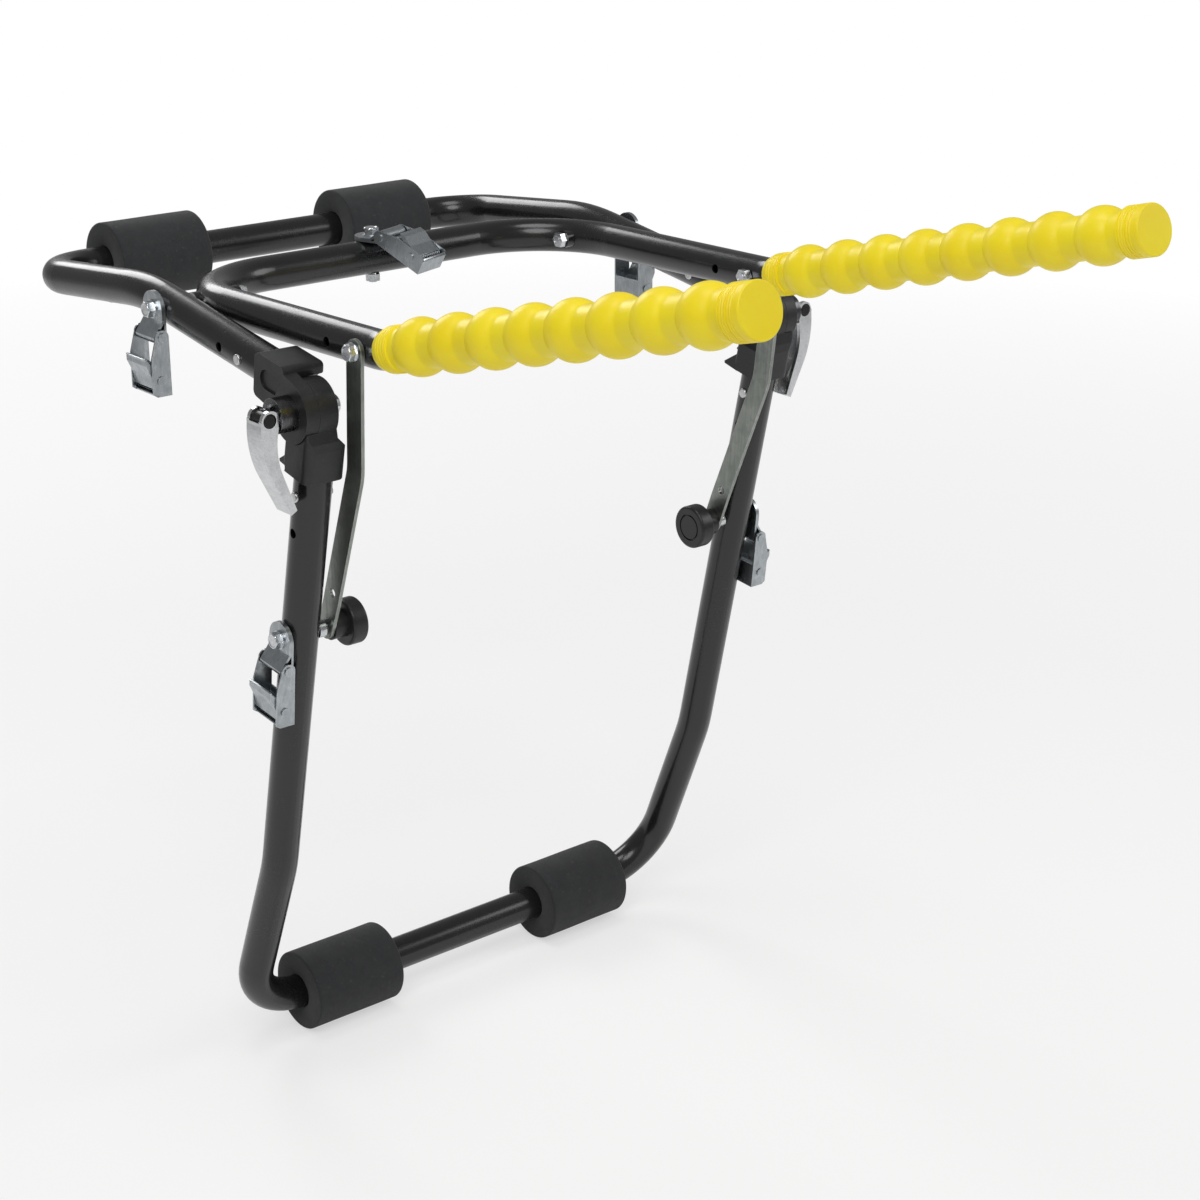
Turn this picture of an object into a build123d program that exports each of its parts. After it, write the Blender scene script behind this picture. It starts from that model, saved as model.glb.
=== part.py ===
from build123d import *
import os
from math import atan2, cos, degrees, hypot, radians, sin, sqrt, tan

os.makedirs("parts", exist_ok=True)

# Trunk mounted bike rack, in millimetres. X runs across the car, +Y points to the car, +Z is up.
# The origin is the middle of the lower crossbar, which rests on the bumper through two foam rollers.

# Tube stock and clearances
tube_d = 25.0
tube_wall = 1.5
leg_span = 387.0          # between the leg centrelines of both U frames
fit = 0.05                # radial play of a pin, tube or bolt in its bore
gap = 0.3                 # air between pieces that move past each other

# Lower U frame, seen from the side: foot, bend, leg
lower_corner_r = 50.0
foot_run = 153.2
foot_lean = 22.08
lower_bend_r = 120.0
lower_leg_run = 326.5
lower_leg_lean = 12.28

# Upper U frame: leg from the hub, bend, far end with its crossbar
upper_reach = 23.5        # leg end behind the hub axis
upper_rise = 14.6         # leg end above the hub axis
upper_leg_run = 176.5
upper_leg_slope = 8.57
upper_bend_r = 200.0
far_run = 161.8
far_slope = -5.71
upper_corner_r = 44.0

# Carrier: back bar, level arms, bend, rising arms that carry the bikes
pivot_run = 143.6         # carrier pivot along the upper leg
back_bar_run = 46.0       # back bar behind the pivot
arm_air = 0.5             # between a carrier arm and the leg beside it
arm_slope = 1.07
level_run = 204.5         # pivot to arm bend
arm_bend_r = 40.0
arm_rise = 14.46
arm_run = 335.0
toe_in = 0.945
back_corner_r = 76.0
bush_r = 6.5
bush_stand = 1.0          # how far the bush stands proud of the tube

# Foam rollers
pad_d = 60.0
pad_bore_play = 0.4
pad_length = 75.0
lower_pad_offset = 110.4  # middle of a roller from the middle of the bar
upper_pad_offset = 101.6

# Locking hub
hub_ahead = 3.5           # hub axis behind the end of the lower leg
hub_above = 23.5
disc_r = 20.0
lower_disc_inset = 7.0    # inner face of the lower disc, inside the leg centreline
lower_disc_width = 13.6
upper_disc_width = 9.6
socket_inner = 14.7       # socket faces, inside and outside the leg centreline
socket_outer = 15.5
lower_socket_depth = 19.4
upper_socket_depth = 16.2
upper_socket_nose = 17.0
socket_front = 14.4
socket_round = 6.0
bevel_start = 2.0
bevel_rise = 8.0
socket_wall = 1.3         # least wall of a socket round its tube
socket_roof = 3.0         # wall above the upper leg
fold_limit = 55.0         # the upper frame folds this far, to where its socket meets the first nose
stop_width = 9.0
# Outline of the two noses: reach in disc radii, angle in degrees, counted from the limit on the first nose's top
stop_top = [(0.95, -3.5), (1.72, 1.9), (1.74, 0.5)]
stop_front = [(1.475, -59.5), (1.65, -62.0), (2.59, -49.6), (2.65, -51.0), (2.45, -66.0)]
stop_hole_at = (2.015, -68.5)
stop_hole_d = 9.5

# Clamp of the hub: bolt, nut, cup, cross barrel and cam lever
hub_bolt_d = 8.0
hub_stub_d = 5.6
hub_nut_d = 13.2
hub_nut_length = 10.7
hub_bolt_tail = 1.5
cup_length = 12.4
cup_d = 23.0
cup_end_d = 17.0
barrel_d = 9.3
barrel_length = 18.0
cam_r = 6.3
cam_throw = 0.6
cam_gap = 0.2
lever_width = 17.0
lever_cheek = 3.0
lever_web = 2.0
lever_length = 63.5

# Bolts, washers and spare holes
bolt_d = 6.0
head_af = 10.0
head_height = 4.0
washer_d = 12.5
washer_t = 1.0
nut_height = 5.0
spare_hole_d = 6.5
rivet_d = 4.8
rivet_head_d = 7.0
rivet_head_h = 1.6

# Struts and their hand knobs
strut_width = 16.0
strut_t = 2.5
strut_bolt_run = 194.0    # strut bolt along the arm from the carrier pivot
arm_hole_run = 160.0
knob_run = 187.8          # knob pivot along the lower leg from its bend
strut_top_run = 80.9
strut_top_lean = 5.68
strut_bend_r = 40.0
strut_joggle = 5.55       # how far the foot of the strut steps inwards
strut_flat = 10.0         # straight ends beyond the joggle
strut_spare_run = 29.0
collar_d = 12.0
collar_length = 5.9
knob_d = 32.0
knob_t = 12.0
knob_neck_d = 19.0
knob_neck = 10.0
knob_rim_round = 2.0
knob_ring = 10.0          # outer radius of the ring recess in its face
knob_ring_width = 1.2
knob_ring_depth = 1.5

# Holes and rivets in the legs, measured from the end that sits in the hub
lower_rivet_run = 33.9
lower_hole_run = 60.2
upper_rivet_run = 41.7
upper_hole_run = 65.0

# Rubber grips on the arms
grip_start = 5.0
grip_collar = 17.0
grip_collar_d = 30.0
grip_lip = 7.0            # the collar thins to this far from its start, for the strut that swings past it
grip_lip_t = 0.3          # thickness of its thin edge
ball_count = 8
ball_d = 36.6
ball_pitch = 37.1
first_ball = 40.9
grip_neck_d = 27.6
grip_neck_round = 4.0
end_collar = 17.0
end_collar_d = 32.0
ring_count = 6
ring_depth = 0.6
grip_cap = 4.0

# Strap buckles
strip_width = 24.5
strip_t = 1.5
loop_inner_r = 3.5
loop_drop = 17.0          # bar below the bracket bolt
bar_d = 4.2
side_t = 1.2
side_play = 1.05
side_depth = 14.0
buckle_drop = 40.0
window_top = 22.0
cam_pin_d = 4.0
cam_pin_drop = 29.0
cam_pin_out = 2.5
tooth_r = 6.0
cam_body_r = 5.0
tooth_count = 5
thumb_rise = 14.0
thumb_out = 8.5
thumb_t = 1.6
lower_buckle_lean = 6.0
centre_swivel = 20.0
centre_droop = 28.0

# Places worked out from the sizes above
tube_r = tube_d / 2
back_bar_span = leg_span - 2 * (tube_d + arm_air)
leg_x = leg_span / 2
bolt_r = bolt_d / 2


def step(start, angle, run):
    """the point a run away from start, at an angle above +Y"""
    return (start[0] + run * cos(radians(angle)), start[1] + run * sin(radians(angle)))


foot_bend = step((0, 0), 90 + foot_lean, foot_run)
leg_angle = 90 + lower_leg_lean
leg_top = step(foot_bend, leg_angle, lower_leg_run)
hub = (leg_top[0] + hub_ahead, leg_top[1] + hub_above)
upper_start = (hub[0] + upper_reach, hub[1] + upper_rise)
upper_bend = step(upper_start, upper_leg_slope, upper_leg_run)
upper_bar = step(upper_bend, far_slope, far_run)
pivot = step(upper_start, upper_leg_slope, pivot_run)
back_bar = step(pivot, -arm_slope, back_bar_run)
arm_bend = step(pivot, 180 - arm_slope, level_run)
arm_tip = step(arm_bend, 180 - arm_rise, arm_run)
strut_top = step(pivot, 180 - arm_slope, strut_bolt_run)
arm_hole = step(pivot, 180 - arm_slope, arm_hole_run)
knob_pivot = step(foot_bend, leg_angle, knob_run)


def arm_x(y):
    """half spacing of the carrier arms, which lean towards each other"""
    return back_bar_span / 2 - (back_bar[0] - y) * tan(radians(toe_in))


def on_lower(along, across=0.0):
    """a point of the lower leg's side view, from its top end, across towards the car"""
    return step(step(leg_top, leg_angle, along), leg_angle - 90, across)


def on_upper(along, across=0.0):
    """a point of the upper leg's side view, from the end in the hub, across upwards"""
    return step(step(upper_start, upper_leg_slope, along), upper_leg_slope + 90, across)


def around_hub(radius, angle):
    return step(hub, angle, radius)


# Shared building steps, each used inside a part that is being built

def bent_tube(points, radii):
    """a round tube along straight runs with an arc at each corner"""
    with BuildLine() as route:
        FilletPolyline(*points, radius=radii)
    path = route.wire()
    with BuildSketch(Plane(origin=path @ 0, z_dir=path % 0)) as ring:
        Circle(tube_r)
        Circle(tube_r - tube_wall, mode=Mode.SUBTRACT)
    sweep(ring.sketch, path=path)


def rod(at, radius, x_from, x_to, mode=Mode.ADD):
    """a round bar across the car, from one X to another, at a side view point"""
    with BuildSketch(Plane.YZ.offset(x_from)) as section:
        with Locations(at):
            Circle(radius)
    extrude(section.sketch, amount=x_to - x_from, mode=mode)


def ring_rod(at, radius, bore, x_from, x_to):
    """a round ring across the car, for washers and spacers"""
    with BuildSketch(Plane.YZ.offset(x_from)) as section:
        with Locations(at):
            Circle(radius)
            Circle(bore, mode=Mode.SUBTRACT)
    extrude(section.sketch, amount=x_to - x_from)


def hex_rod(at, bore, x_from, x_to):
    """a hexagon across the car, for heads, and for nuts where it has a bore"""
    with BuildSketch(Plane.YZ.offset(x_from)) as section:
        with Locations(at):
            RegularPolygon(head_af / 2, 6, major_radius=False)
            if bore:
                Circle(bore, mode=Mode.SUBTRACT)
    extrude(section.sketch, amount=x_to - x_from)


def write(piece, name):
    piece.part.label = name
    export_step(piece.part, f"parts/{name}.step")


def write_pair(right, name):
    """writes a right hand piece and its mirror image on the left"""
    with BuildPart() as left:
        mirror(right.part, about=Plane.YZ)
    write(right, name + "_right")
    write(left, name + "_left")


def write_across(right, name):
    """writes one piece that holds the same small parts on both sides"""
    with BuildPart() as both:
        add(right.part)
        mirror(right.part, about=Plane.YZ)
    write(both, name)


# Lower U frame

with BuildPart() as lower_frame_tube:
    side = [leg_top, foot_bend, (0.0, 0.0)]
    left_run = [(-leg_x, y, z) for y, z in side]
    right_run = [(leg_x, y, z) for y, z in reversed(side)]
    bent_tube(left_run + right_run, [lower_bend_r, lower_corner_r, lower_corner_r, lower_bend_r])
    for place, radius in (
        (knob_pivot, bolt_r + fit),
        (on_lower(-lower_hole_run), spare_hole_d / 2),
        (on_lower(-lower_rivet_run), rivet_d / 2 + fit),
    ):
        rod(place, radius, -leg_x - tube_d, leg_x + tube_d, mode=Mode.SUBTRACT)
write(lower_frame_tube, "lower_frame_tube")

# Upper U frame

with BuildPart() as upper_frame_tube:
    side = [upper_start, upper_bend, upper_bar]
    left_run = [(-leg_x, y, z) for y, z in side]
    right_run = [(leg_x, y, z) for y, z in reversed(side)]
    bent_tube(left_run + right_run, [upper_bend_r, upper_corner_r, upper_corner_r, upper_bend_r])
    for place, radius in (
        (pivot, bolt_r + fit),
        (on_upper(upper_hole_run), spare_hole_d / 2),
        (on_upper(upper_rivet_run), rivet_d / 2 + fit),
    ):
        rod(place, radius, -leg_x - tube_d, leg_x + tube_d, mode=Mode.SUBTRACT)
write(upper_frame_tube, "upper_frame_tube")

# Carrier, with a welded bush through each side for the pivot bolt

corner_x = back_bar_span / 2 - back_corner_r
into_corner = pivot[0] - back_bar[0] + back_corner_r
inner_reach = sqrt((back_corner_r - tube_r) ** 2 - (into_corner + bush_r) ** 2)
outer_reach = sqrt((back_corner_r + tube_r) ** 2 - (into_corner - bush_r) ** 2)
bush_inner = corner_x + inner_reach - bush_stand
bush_outer = corner_x + outer_reach + bush_stand

with BuildPart() as carrier_frame_tube:
    side = [arm_tip, arm_bend, back_bar]
    left_run = [(-arm_x(y), y, z) for y, z in side]
    right_run = [(arm_x(y), y, z) for y, z in reversed(side)]
    bent_tube(left_run + right_run, [arm_bend_r, back_corner_r, back_corner_r, arm_bend_r])
    for sign in (-1, 1):
        rod(pivot, bush_r, sign * bush_inner, sign * bush_outer)
    rod(pivot, bolt_r + fit, -leg_x, leg_x, mode=Mode.SUBTRACT)
    rod(strut_top, bolt_r + fit, -leg_x, leg_x, mode=Mode.SUBTRACT)
    rod(arm_hole, spare_hole_d / 2, -leg_x, leg_x, mode=Mode.SUBTRACT)
    with BuildSketch(Plane((0, back_bar[0], back_bar[1] - tube_d))):
        Circle(bolt_r + fit)
    extrude(amount=2 * tube_d, mode=Mode.SUBTRACT)
write(carrier_frame_tube, "carrier_frame_tube")

# Foam rollers on the two crossbars

for name, bar, middle in (
    ("lower_pad", (0.0, 0.0), lower_pad_offset),
    ("upper_pad", upper_bar, upper_pad_offset),
):
    with BuildPart() as pad:
        rod(bar, pad_d / 2, middle - pad_length / 2, middle + pad_length / 2)
        rod(bar, tube_r + pad_bore_play, middle - pad_length, middle + pad_length, mode=Mode.SUBTRACT)
    write_pair(pad, name)

# Lower half of the hub: a socket on the leg, a disc, and two noses that stop the fold

lower_face = leg_x - lower_disc_inset
split_x = lower_face + lower_disc_width
leg_plane = Plane(
    (leg_x, *leg_top),
    x_dir=(1, 0, 0),
    z_dir=(0, cos(radians(leg_angle)), sin(radians(leg_angle))),
)
leg_side = Plane(
    (0, *leg_top),
    x_dir=(1, 0, 0),
    z_dir=(0, -sin(radians(leg_angle)), cos(radians(leg_angle))),
)

with BuildPart() as lower_hub:
    with BuildSketch(Plane.YZ.offset(leg_x - socket_inner)):
        with BuildLine():
            Polyline(
                on_lower(-lower_socket_depth, -socket_front),
                on_lower(bevel_start, -socket_front),
                on_lower(bevel_rise, -socket_front + 1),
                around_hub(disc_r, 212),
                hub,
                on_lower(bevel_start, tube_r + 1),
                on_lower(-lower_socket_depth, tube_r + 1),
                close=True,
            )
        make_face()
    extrude(amount=socket_inner + socket_outer)
    upright = Axis((0, 0, 0), leg_plane.z_dir)
    fillet(lower_hub.edges().filter_by(upright).sort_by(Axis.Y)[:2], socket_round)
    fillet(lower_hub.edges().filter_by(upright).sort_by(Axis.Y)[-2:], socket_round / 2)
    rod(hub, disc_r, lower_face, split_x)
    with BuildSketch(leg_side):
        with BuildLine():
            Polyline(
                (leg_x - socket_inner - 1, bevel_start),
                (leg_x - socket_inner, bevel_start),
                (lower_face, bevel_start + bevel_rise),
                (lower_face, 3 * disc_r),
                (leg_x - socket_inner - 1, 3 * disc_r),
                close=True,
            )
        make_face()
    extrude(amount=2 * disc_r, both=True, mode=Mode.SUBTRACT)
    with BuildSketch(Plane.YZ.offset(leg_x - stop_width / 2)):
        with BuildLine():
            Polyline(
                hub,
                *[around_hub(reach * disc_r, angle - fold_limit) for reach, angle in stop_top],
                *[around_hub(reach * disc_r, angle) for reach, angle in stop_front],
                on_lower(-lower_socket_depth, tube_r),
                close=True,
            )
        make_face()
    extrude(amount=stop_width)
    stop_hole = around_hub(stop_hole_at[0] * disc_r, stop_hole_at[1])
    rod(stop_hole, stop_hole_d / 2, leg_x - disc_r, leg_x + disc_r, mode=Mode.SUBTRACT)
    rod(hub, disc_r + 2 * fit + gap, split_x, leg_x + 2 * socket_outer, mode=Mode.SUBTRACT)
    rod(hub, hub_bolt_d / 2 + fit, leg_x - 2 * disc_r, leg_x + 2 * disc_r, mode=Mode.SUBTRACT)
    with BuildSketch(leg_plane):
        Circle(tube_r + fit)
    extrude(amount=-2 * lower_socket_depth, mode=Mode.SUBTRACT)
write_pair(lower_hub, "lower_hub")

# Upper half of the hub: a socket on the upper leg, merged into the outer disc

cap_inner = split_x + gap
cap_outer = cap_inner + upper_disc_width
upper_plane = Plane(
    (leg_x, *upper_start),
    x_dir=(1, 0, 0),
    z_dir=(0, cos(radians(upper_leg_slope)), sin(radians(upper_leg_slope))),
)

with BuildPart() as upper_hub:
    with BuildSketch(Plane.YZ.offset(leg_x - socket_inner)):
        with BuildLine():
            Polyline(
                on_upper(upper_socket_depth, -tube_r - socket_wall),
                on_upper(upper_socket_depth, tube_r + socket_roof),
                on_upper(-upper_socket_nose, tube_r + socket_roof),
                on_upper(-upper_socket_nose, -tube_r - socket_wall),
                close=True,
            )
        make_face()
        fillet(vertices(), 4.0)
    extrude(amount=socket_inner + socket_outer + 1)
    with BuildSketch(Plane.YZ.offset(cap_inner)):
        with BuildLine():
            Polyline(
                hub,
                around_hub(disc_r, -8),
                on_upper(upper_socket_depth - socket_roof, -tube_r - socket_wall),
                on_upper(upper_socket_depth - socket_roof, tube_r),
                on_upper(0, tube_r + socket_roof),
                around_hub(disc_r, 115),
                close=True,
            )
        make_face()
    extrude(amount=upper_disc_width)
    rod(hub, disc_r, cap_inner, cap_outer)
    rod(hub, disc_r + 2 * fit + gap, leg_x - 2 * socket_inner, cap_inner, mode=Mode.SUBTRACT)
    fillet(upper_hub.edges().group_by(Axis.X)[0], 3.0)
    with BuildSketch(Plane.YZ.offset(cap_outer - 1.5)):
        with Locations(on_upper(-3, 1)):
            SlotOverall(24, 13, rotation=upper_leg_slope)
        with Locations(hub):
            Circle(disc_r - 2.5, mode=Mode.SUBTRACT)
    extrude(amount=4, mode=Mode.SUBTRACT)
    rod(hub, hub_bolt_d / 2 + fit, leg_x - 2 * disc_r, leg_x + 2 * disc_r, mode=Mode.SUBTRACT)
    with BuildSketch(upper_plane):
        Circle(tube_r + fit)
    extrude(amount=2 * upper_socket_depth, mode=Mode.SUBTRACT)
write_pair(upper_hub, "upper_hub")

# Hub clamp: the bolt pulls the two discs together when the cam lever is shut

barrel_x = cap_outer + cup_length + cam_gap + cam_r + cam_throw
nut_outer = lower_face - gap
nut_inner = nut_outer - hub_nut_length
cup_outer = cap_outer + cup_length
barrel_r = barrel_d / 2

with BuildPart() as hub_bolt:
    rod(hub, hub_bolt_d / 2, nut_inner - hub_bolt_tail, cup_outer - 0.5)
    rod(hub, hub_stub_d / 2, cup_outer - 0.5, barrel_x + barrel_r / 2)
    chamfer(hub_bolt.faces().sort_by(Axis.X)[0].edges(), 0.6)
write_pair(hub_bolt, "hub_bolt")

with BuildPart() as hub_nut:
    with BuildSketch(Plane.YZ.offset(nut_inner)):
        with Locations(hub):
            RegularPolygon(hub_nut_d / 2, 18)
    extrude(amount=hub_nut_length)
    chamfer(hub_nut.faces().sort_by(Axis.X)[0].edges(), 0.7)
    rod(hub, hub_bolt_d / 2 + fit, nut_inner - 1, nut_outer + 1, mode=Mode.SUBTRACT)
write_pair(hub_nut, "hub_nut")

with BuildPart() as cam_cup:
    for start, radius in ((0.0, cup_d / 2), (0.32, cup_d / 2 - 1.2), (0.6, cup_end_d / 2)):
        rod(hub, radius, cap_outer + start * cup_length, cup_outer)
    rod(hub, hub_bolt_d / 2 + fit, cap_outer - 1, cup_outer + 1, mode=Mode.SUBTRACT)
write_pair(cam_cup, "cam_cup")

with BuildPart() as cam_barrel:
    with BuildSketch(Plane.XZ.offset(-hub[0])):
        with Locations((barrel_x, hub[1])):
            Circle(barrel_r)
    extrude(amount=barrel_length / 2, both=True)
    fillet(cam_barrel.edges().filter_by(GeomType.CIRCLE), barrel_r / 3)
    rod(hub, hub_stub_d / 2 + fit, cap_outer, barrel_x + barrel_r / 2 + fit, mode=Mode.SUBTRACT)
write_pair(cam_barrel, "cam_barrel")

# Cam lever: a bent channel whose two cheeks end in eccentric eyes

def lever_outline(shift=0.0):
    """side view of the lever, hanging from the barrel and curving in towards the leg"""
    with BuildLine() as rim:
        Line((cam_r - shift, 0), (cam_r - shift, -3))
        ThreePointArc((cam_r - shift, -3), (5.6 - shift, -21), (0.5 - shift, -37.5))
        Line((0.5 - shift, -37.5), (-12.5 - shift, -lever_length))
        Line((-12.5 - shift, -lever_length), (-16.8 - shift, -lever_length + 2.5))
        Line((-16.8 - shift, -lever_length + 2.5), (-7.6 - shift, -36))
        ThreePointArc((-7.6 - shift, -36), (-4.9 - shift, -24), (-5.0 - shift, -12))
        Line((-5.0 - shift, -12), (-cam_r - cam_throw, -0.5))
        Line((-cam_r - cam_throw, -0.5), (cam_r - shift, 0))
    make_face(rim.edges())


lever_plane = Plane((barrel_x, hub[0], hub[1]), x_dir=(1, 0, 0), z_dir=(0, -1, 0))

with BuildPart() as cam_lever:
    with BuildSketch(lever_plane) as outline:
        lever_outline()
        with Locations((-cam_throw, 0)):
            Circle(cam_r)
    extrude(amount=lever_width / 2, both=True)
    with BuildSketch(lever_plane):
        lever_outline(lever_web)
        with Locations((0, cam_r - 1)):
            Rectangle(6 * cam_r, 2 * cam_r)
        Circle(barrel_r + gap)
    extrude(amount=lever_width / 2 - lever_cheek, both=True, mode=Mode.SUBTRACT)
    with BuildSketch(lever_plane):
        Circle(barrel_r + fit)
    extrude(amount=lever_width, both=True, mode=Mode.SUBTRACT)
write_pair(cam_lever, "cam_lever")

# Leg bolts: each carries a buckle bracket outside the lower leg and ends in a collar inside it

leg_inner = leg_x - tube_r
leg_outer = leg_x + tube_r
bracket_back = leg_outer + gap
bracket_front = bracket_back + 2 * strip_t
collar_end = leg_inner - collar_length


def bolt(at, x_from, seat):
    """a hexagon bolt across the car with its washer, from its tip to the face that it clamps"""
    ring_rod(at, washer_d / 2, bolt_r + fit, seat + fit, seat + fit + washer_t)
    head_from = seat + washer_t + 2 * fit
    hex_rod(at, 0, head_from, head_from + head_height)
    rod(at, bolt_r, x_from, head_from)


with BuildPart() as leg_bolt:
    bolt(knob_pivot, collar_end, bracket_front)
write_pair(leg_bolt, "leg_bolt")

with BuildPart() as leg_collar:
    rod(knob_pivot, collar_d / 2, collar_end, leg_inner)
    chamfer(leg_collar.faces().sort_by(Axis.X)[0].edges(), 0.8)
    rod(knob_pivot, bolt_r + fit, collar_end - 1, leg_inner + 1, mode=Mode.SUBTRACT)
write_across(leg_collar, "leg_collars")

# Rivets that hold the legs in the hub sockets

for name, place in (
    ("lower_rivets", on_lower(-lower_rivet_run)),
    ("upper_rivets", on_upper(upper_rivet_run)),
):
    with BuildPart() as rivet:
        rod(place, rivet_d / 2, leg_inner - fit, leg_outer + fit)
        rod(place, rivet_head_d / 2, leg_outer + fit, leg_outer + rivet_head_h)
        rod(place, rivet_head_d / 2, leg_inner - rivet_head_h, leg_inner - fit)
        ends = rivet.faces().filter_by(Axis.X)
        fillet(ends.sort_by(Axis.X)[-1].edges(), rivet_head_h / 2)
        fillet(rivet.faces().filter_by(Axis.X).sort_by(Axis.X)[0].edges(), rivet_head_h / 2)
    write_across(rivet, name)

# Carrier pivot bolts: bracket, upper leg, spacer, carrier bush, nut

pivot_nut_outer = bush_inner - gap

with BuildPart() as carrier_pivot_bolt:
    bolt(pivot, pivot_nut_outer - nut_height - 1, bracket_front)
write_pair(carrier_pivot_bolt, "carrier_pivot_bolt")

with BuildPart() as pivot_fittings:
    ring_rod(pivot, bush_r, bolt_r + fit, bush_outer + gap, leg_inner - gap)
    hex_rod(pivot, bolt_r + fit, pivot_nut_outer - nut_height, pivot_nut_outer)
write_across(pivot_fittings, "carrier_pivot_fittings")

# Strut bolts through the arms

arm_outer = arm_x(strut_top[0]) + tube_r
strut_inner = arm_outer + gap
strut_outer = strut_inner + strut_t
arm_inner = arm_outer - tube_d - 2 * gap

with BuildPart() as strut_bolt:
    bolt(strut_top, arm_inner - nut_height - 1, strut_outer + gap)
    hex_rod(strut_top, bolt_r + fit, arm_inner - nut_height, arm_inner)
write_across(strut_bolt, "strut_bolts")

# Struts: flat bars with a dog leg in side view and a step inwards at the foot

strut_bend = step(strut_top, -90 + strut_top_lean, strut_top_run)
foot_angle = degrees(atan2(knob_pivot[1] - strut_bend[1], knob_pivot[0] - strut_bend[0]))
strut_spare = step(knob_pivot, foot_angle + 180, strut_spare_run)
foot_inner = strut_inner - strut_joggle

with BuildPart() as strut:
    with BuildSketch(Plane.YZ.offset(leg_x - 3 * strut_width)):
        with BuildLine() as spine:
            FilletPolyline(strut_top, strut_bend, knob_pivot, radius=strut_bend_r)
        trace(spine.edges(), strut_width)
        with Locations(strut_top, knob_pivot):
            Circle(strut_width / 2)
            Circle(bolt_r + fit, mode=Mode.SUBTRACT)
        with Locations(strut_spare):
            Circle(spare_hole_d / 2, mode=Mode.SUBTRACT)
    extrude(amount=4 * strut_width)
    with BuildSketch(Plane.XZ):
        with BuildLine():
            Polyline(
                (strut_inner, strut_top[1] + strut_width),
                (strut_inner, strut_top[1] - strut_flat),
                (foot_inner, strut_spare[1] - strut_flat / 2),
                (foot_inner, knob_pivot[1] - strut_width),
                (foot_inner + strut_t, knob_pivot[1] - strut_width),
                (foot_inner + strut_t, strut_spare[1] - strut_flat / 2),
                (strut_outer, strut_top[1] - strut_flat),
                (strut_outer, strut_top[1] + strut_width),
                close=True,
            )
        make_face()
    extrude(amount=2 * hypot(*strut_top), both=True, mode=Mode.INTERSECT)
write_pair(strut, "strut")

# Hand knobs on studs through the feet of the struts

knob_outer = foot_inner - gap
knob_face = knob_outer - knob_neck
knob_inner = knob_face - knob_t
stud_end = collar_end - gap

with BuildPart() as knob_stud:
    rod(knob_pivot, bolt_r, knob_inner + knob_t / 2, stud_end)
write_pair(knob_stud, "knob_stud")

with BuildPart() as knob:
    rod(knob_pivot, knob_d / 2, knob_inner, knob_face)
    fillet(knob.edges().filter_by(GeomType.CIRCLE), knob_rim_round)
    with BuildSketch(Plane((knob_inner, *knob_pivot), x_dir=(0, 1, 0), z_dir=(1, 0, 0))):
        Circle(knob_ring)
        Circle(knob_ring - knob_ring_width, mode=Mode.SUBTRACT)
    extrude(amount=knob_ring_depth, mode=Mode.SUBTRACT)
    rod(knob_pivot, knob_neck_d / 2, knob_face, knob_outer)
    rod(knob_pivot, bolt_r + 2 * fit, knob_inner + knob_t / 2 - gap, knob_outer + 1, mode=Mode.SUBTRACT)
write_pair(knob, "knob")

# Rubber grips: a ringed collar, a row of balls that cradle the frames, an end collar with its cap

grip_root = Vector(arm_x(arm_bend[0]), *arm_bend)
arm_end = Vector(arm_x(arm_tip[0]), *arm_tip)
arm_way = (arm_end - grip_root).normalized()
arm_length = (arm_end - grip_root).length
grip_plane = Plane(grip_root, x_dir=arm_way, z_dir=Vector(1, 0, 0) - arm_way * arm_way.X)
grip_end = arm_length + grip_cap
last_ball = first_ball + ball_pitch * (ball_count - 1)


def band(start, end, radius, mode=Mode.ADD):
    """a plain length of the grip's half profile, along the arm"""
    with Locations(((start + end) / 2, radius / 2)):
        Rectangle(end - start, radius, mode=mode)


with BuildPart() as grip:
    with BuildSketch(grip_plane) as profile:
        with Locations(*[(first_ball + ball_pitch * number, 0) for number in range(ball_count)]):
            Circle(ball_d / 2)
        with Locations((first_ball, -ball_d)):
            Rectangle(4 * grip_end, 2 * ball_d, mode=Mode.SUBTRACT)
        band(first_ball, last_ball, grip_neck_d / 2)
        necks = [v for v in profile.vertices() if abs(v.Y - grip_neck_d / 2) < fit]
        fillet(necks, grip_neck_round)
        band(grip_start, first_ball, grip_neck_d / 2)
        band(last_ball, grip_end, grip_neck_d / 2)
        band(grip_start, grip_start + grip_collar, grip_collar_d / 2)
        band(grip_end - end_collar, grip_end, end_collar_d / 2)
        for start, length, radius in (
            (grip_start, grip_collar, grip_collar_d / 2),
            (grip_end - end_collar, end_collar * 0.7, end_collar_d / 2),
        ):
            pitch = length / ring_count
            with Locations(*[(start + pitch * (number + 0.5), radius) for number in range(ring_count)]):
                Rectangle(pitch / 3, 2 * ring_depth, mode=Mode.SUBTRACT)
        with BuildLine():
            Polyline(
                (grip_start, tube_r + grip_lip_t),
                (grip_start + grip_lip, grip_collar_d / 2),
                (grip_start, grip_collar_d / 2),
                close=True,
            )
        make_face(mode=Mode.SUBTRACT)
        rim = [v for v in profile.vertices() if abs(v.X - grip_end) < fit and v.Y > tube_r]
        fillet(rim, 1.5)
        band(grip_start - 1, arm_length + fit, tube_r + fit, mode=Mode.SUBTRACT)
    revolve(axis=Axis(grip_root, arm_way))
write_pair(grip, "grip")

# Strap buckles. A local frame serves all five: X along the bar, Y away from the tube, Z up to the bolt.

loop_outer_r = loop_inner_r + strip_t
side_inner = strip_width / 2 + side_play
side_outer = side_inner + side_t
cam_pin = (cam_pin_out, -cam_pin_drop)
strip_top = loop_drop + strip_width / 2
buckle_back = -loop_outer_r
pinch_height = loop_drop - washer_d / 2 - 2 * gap

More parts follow.
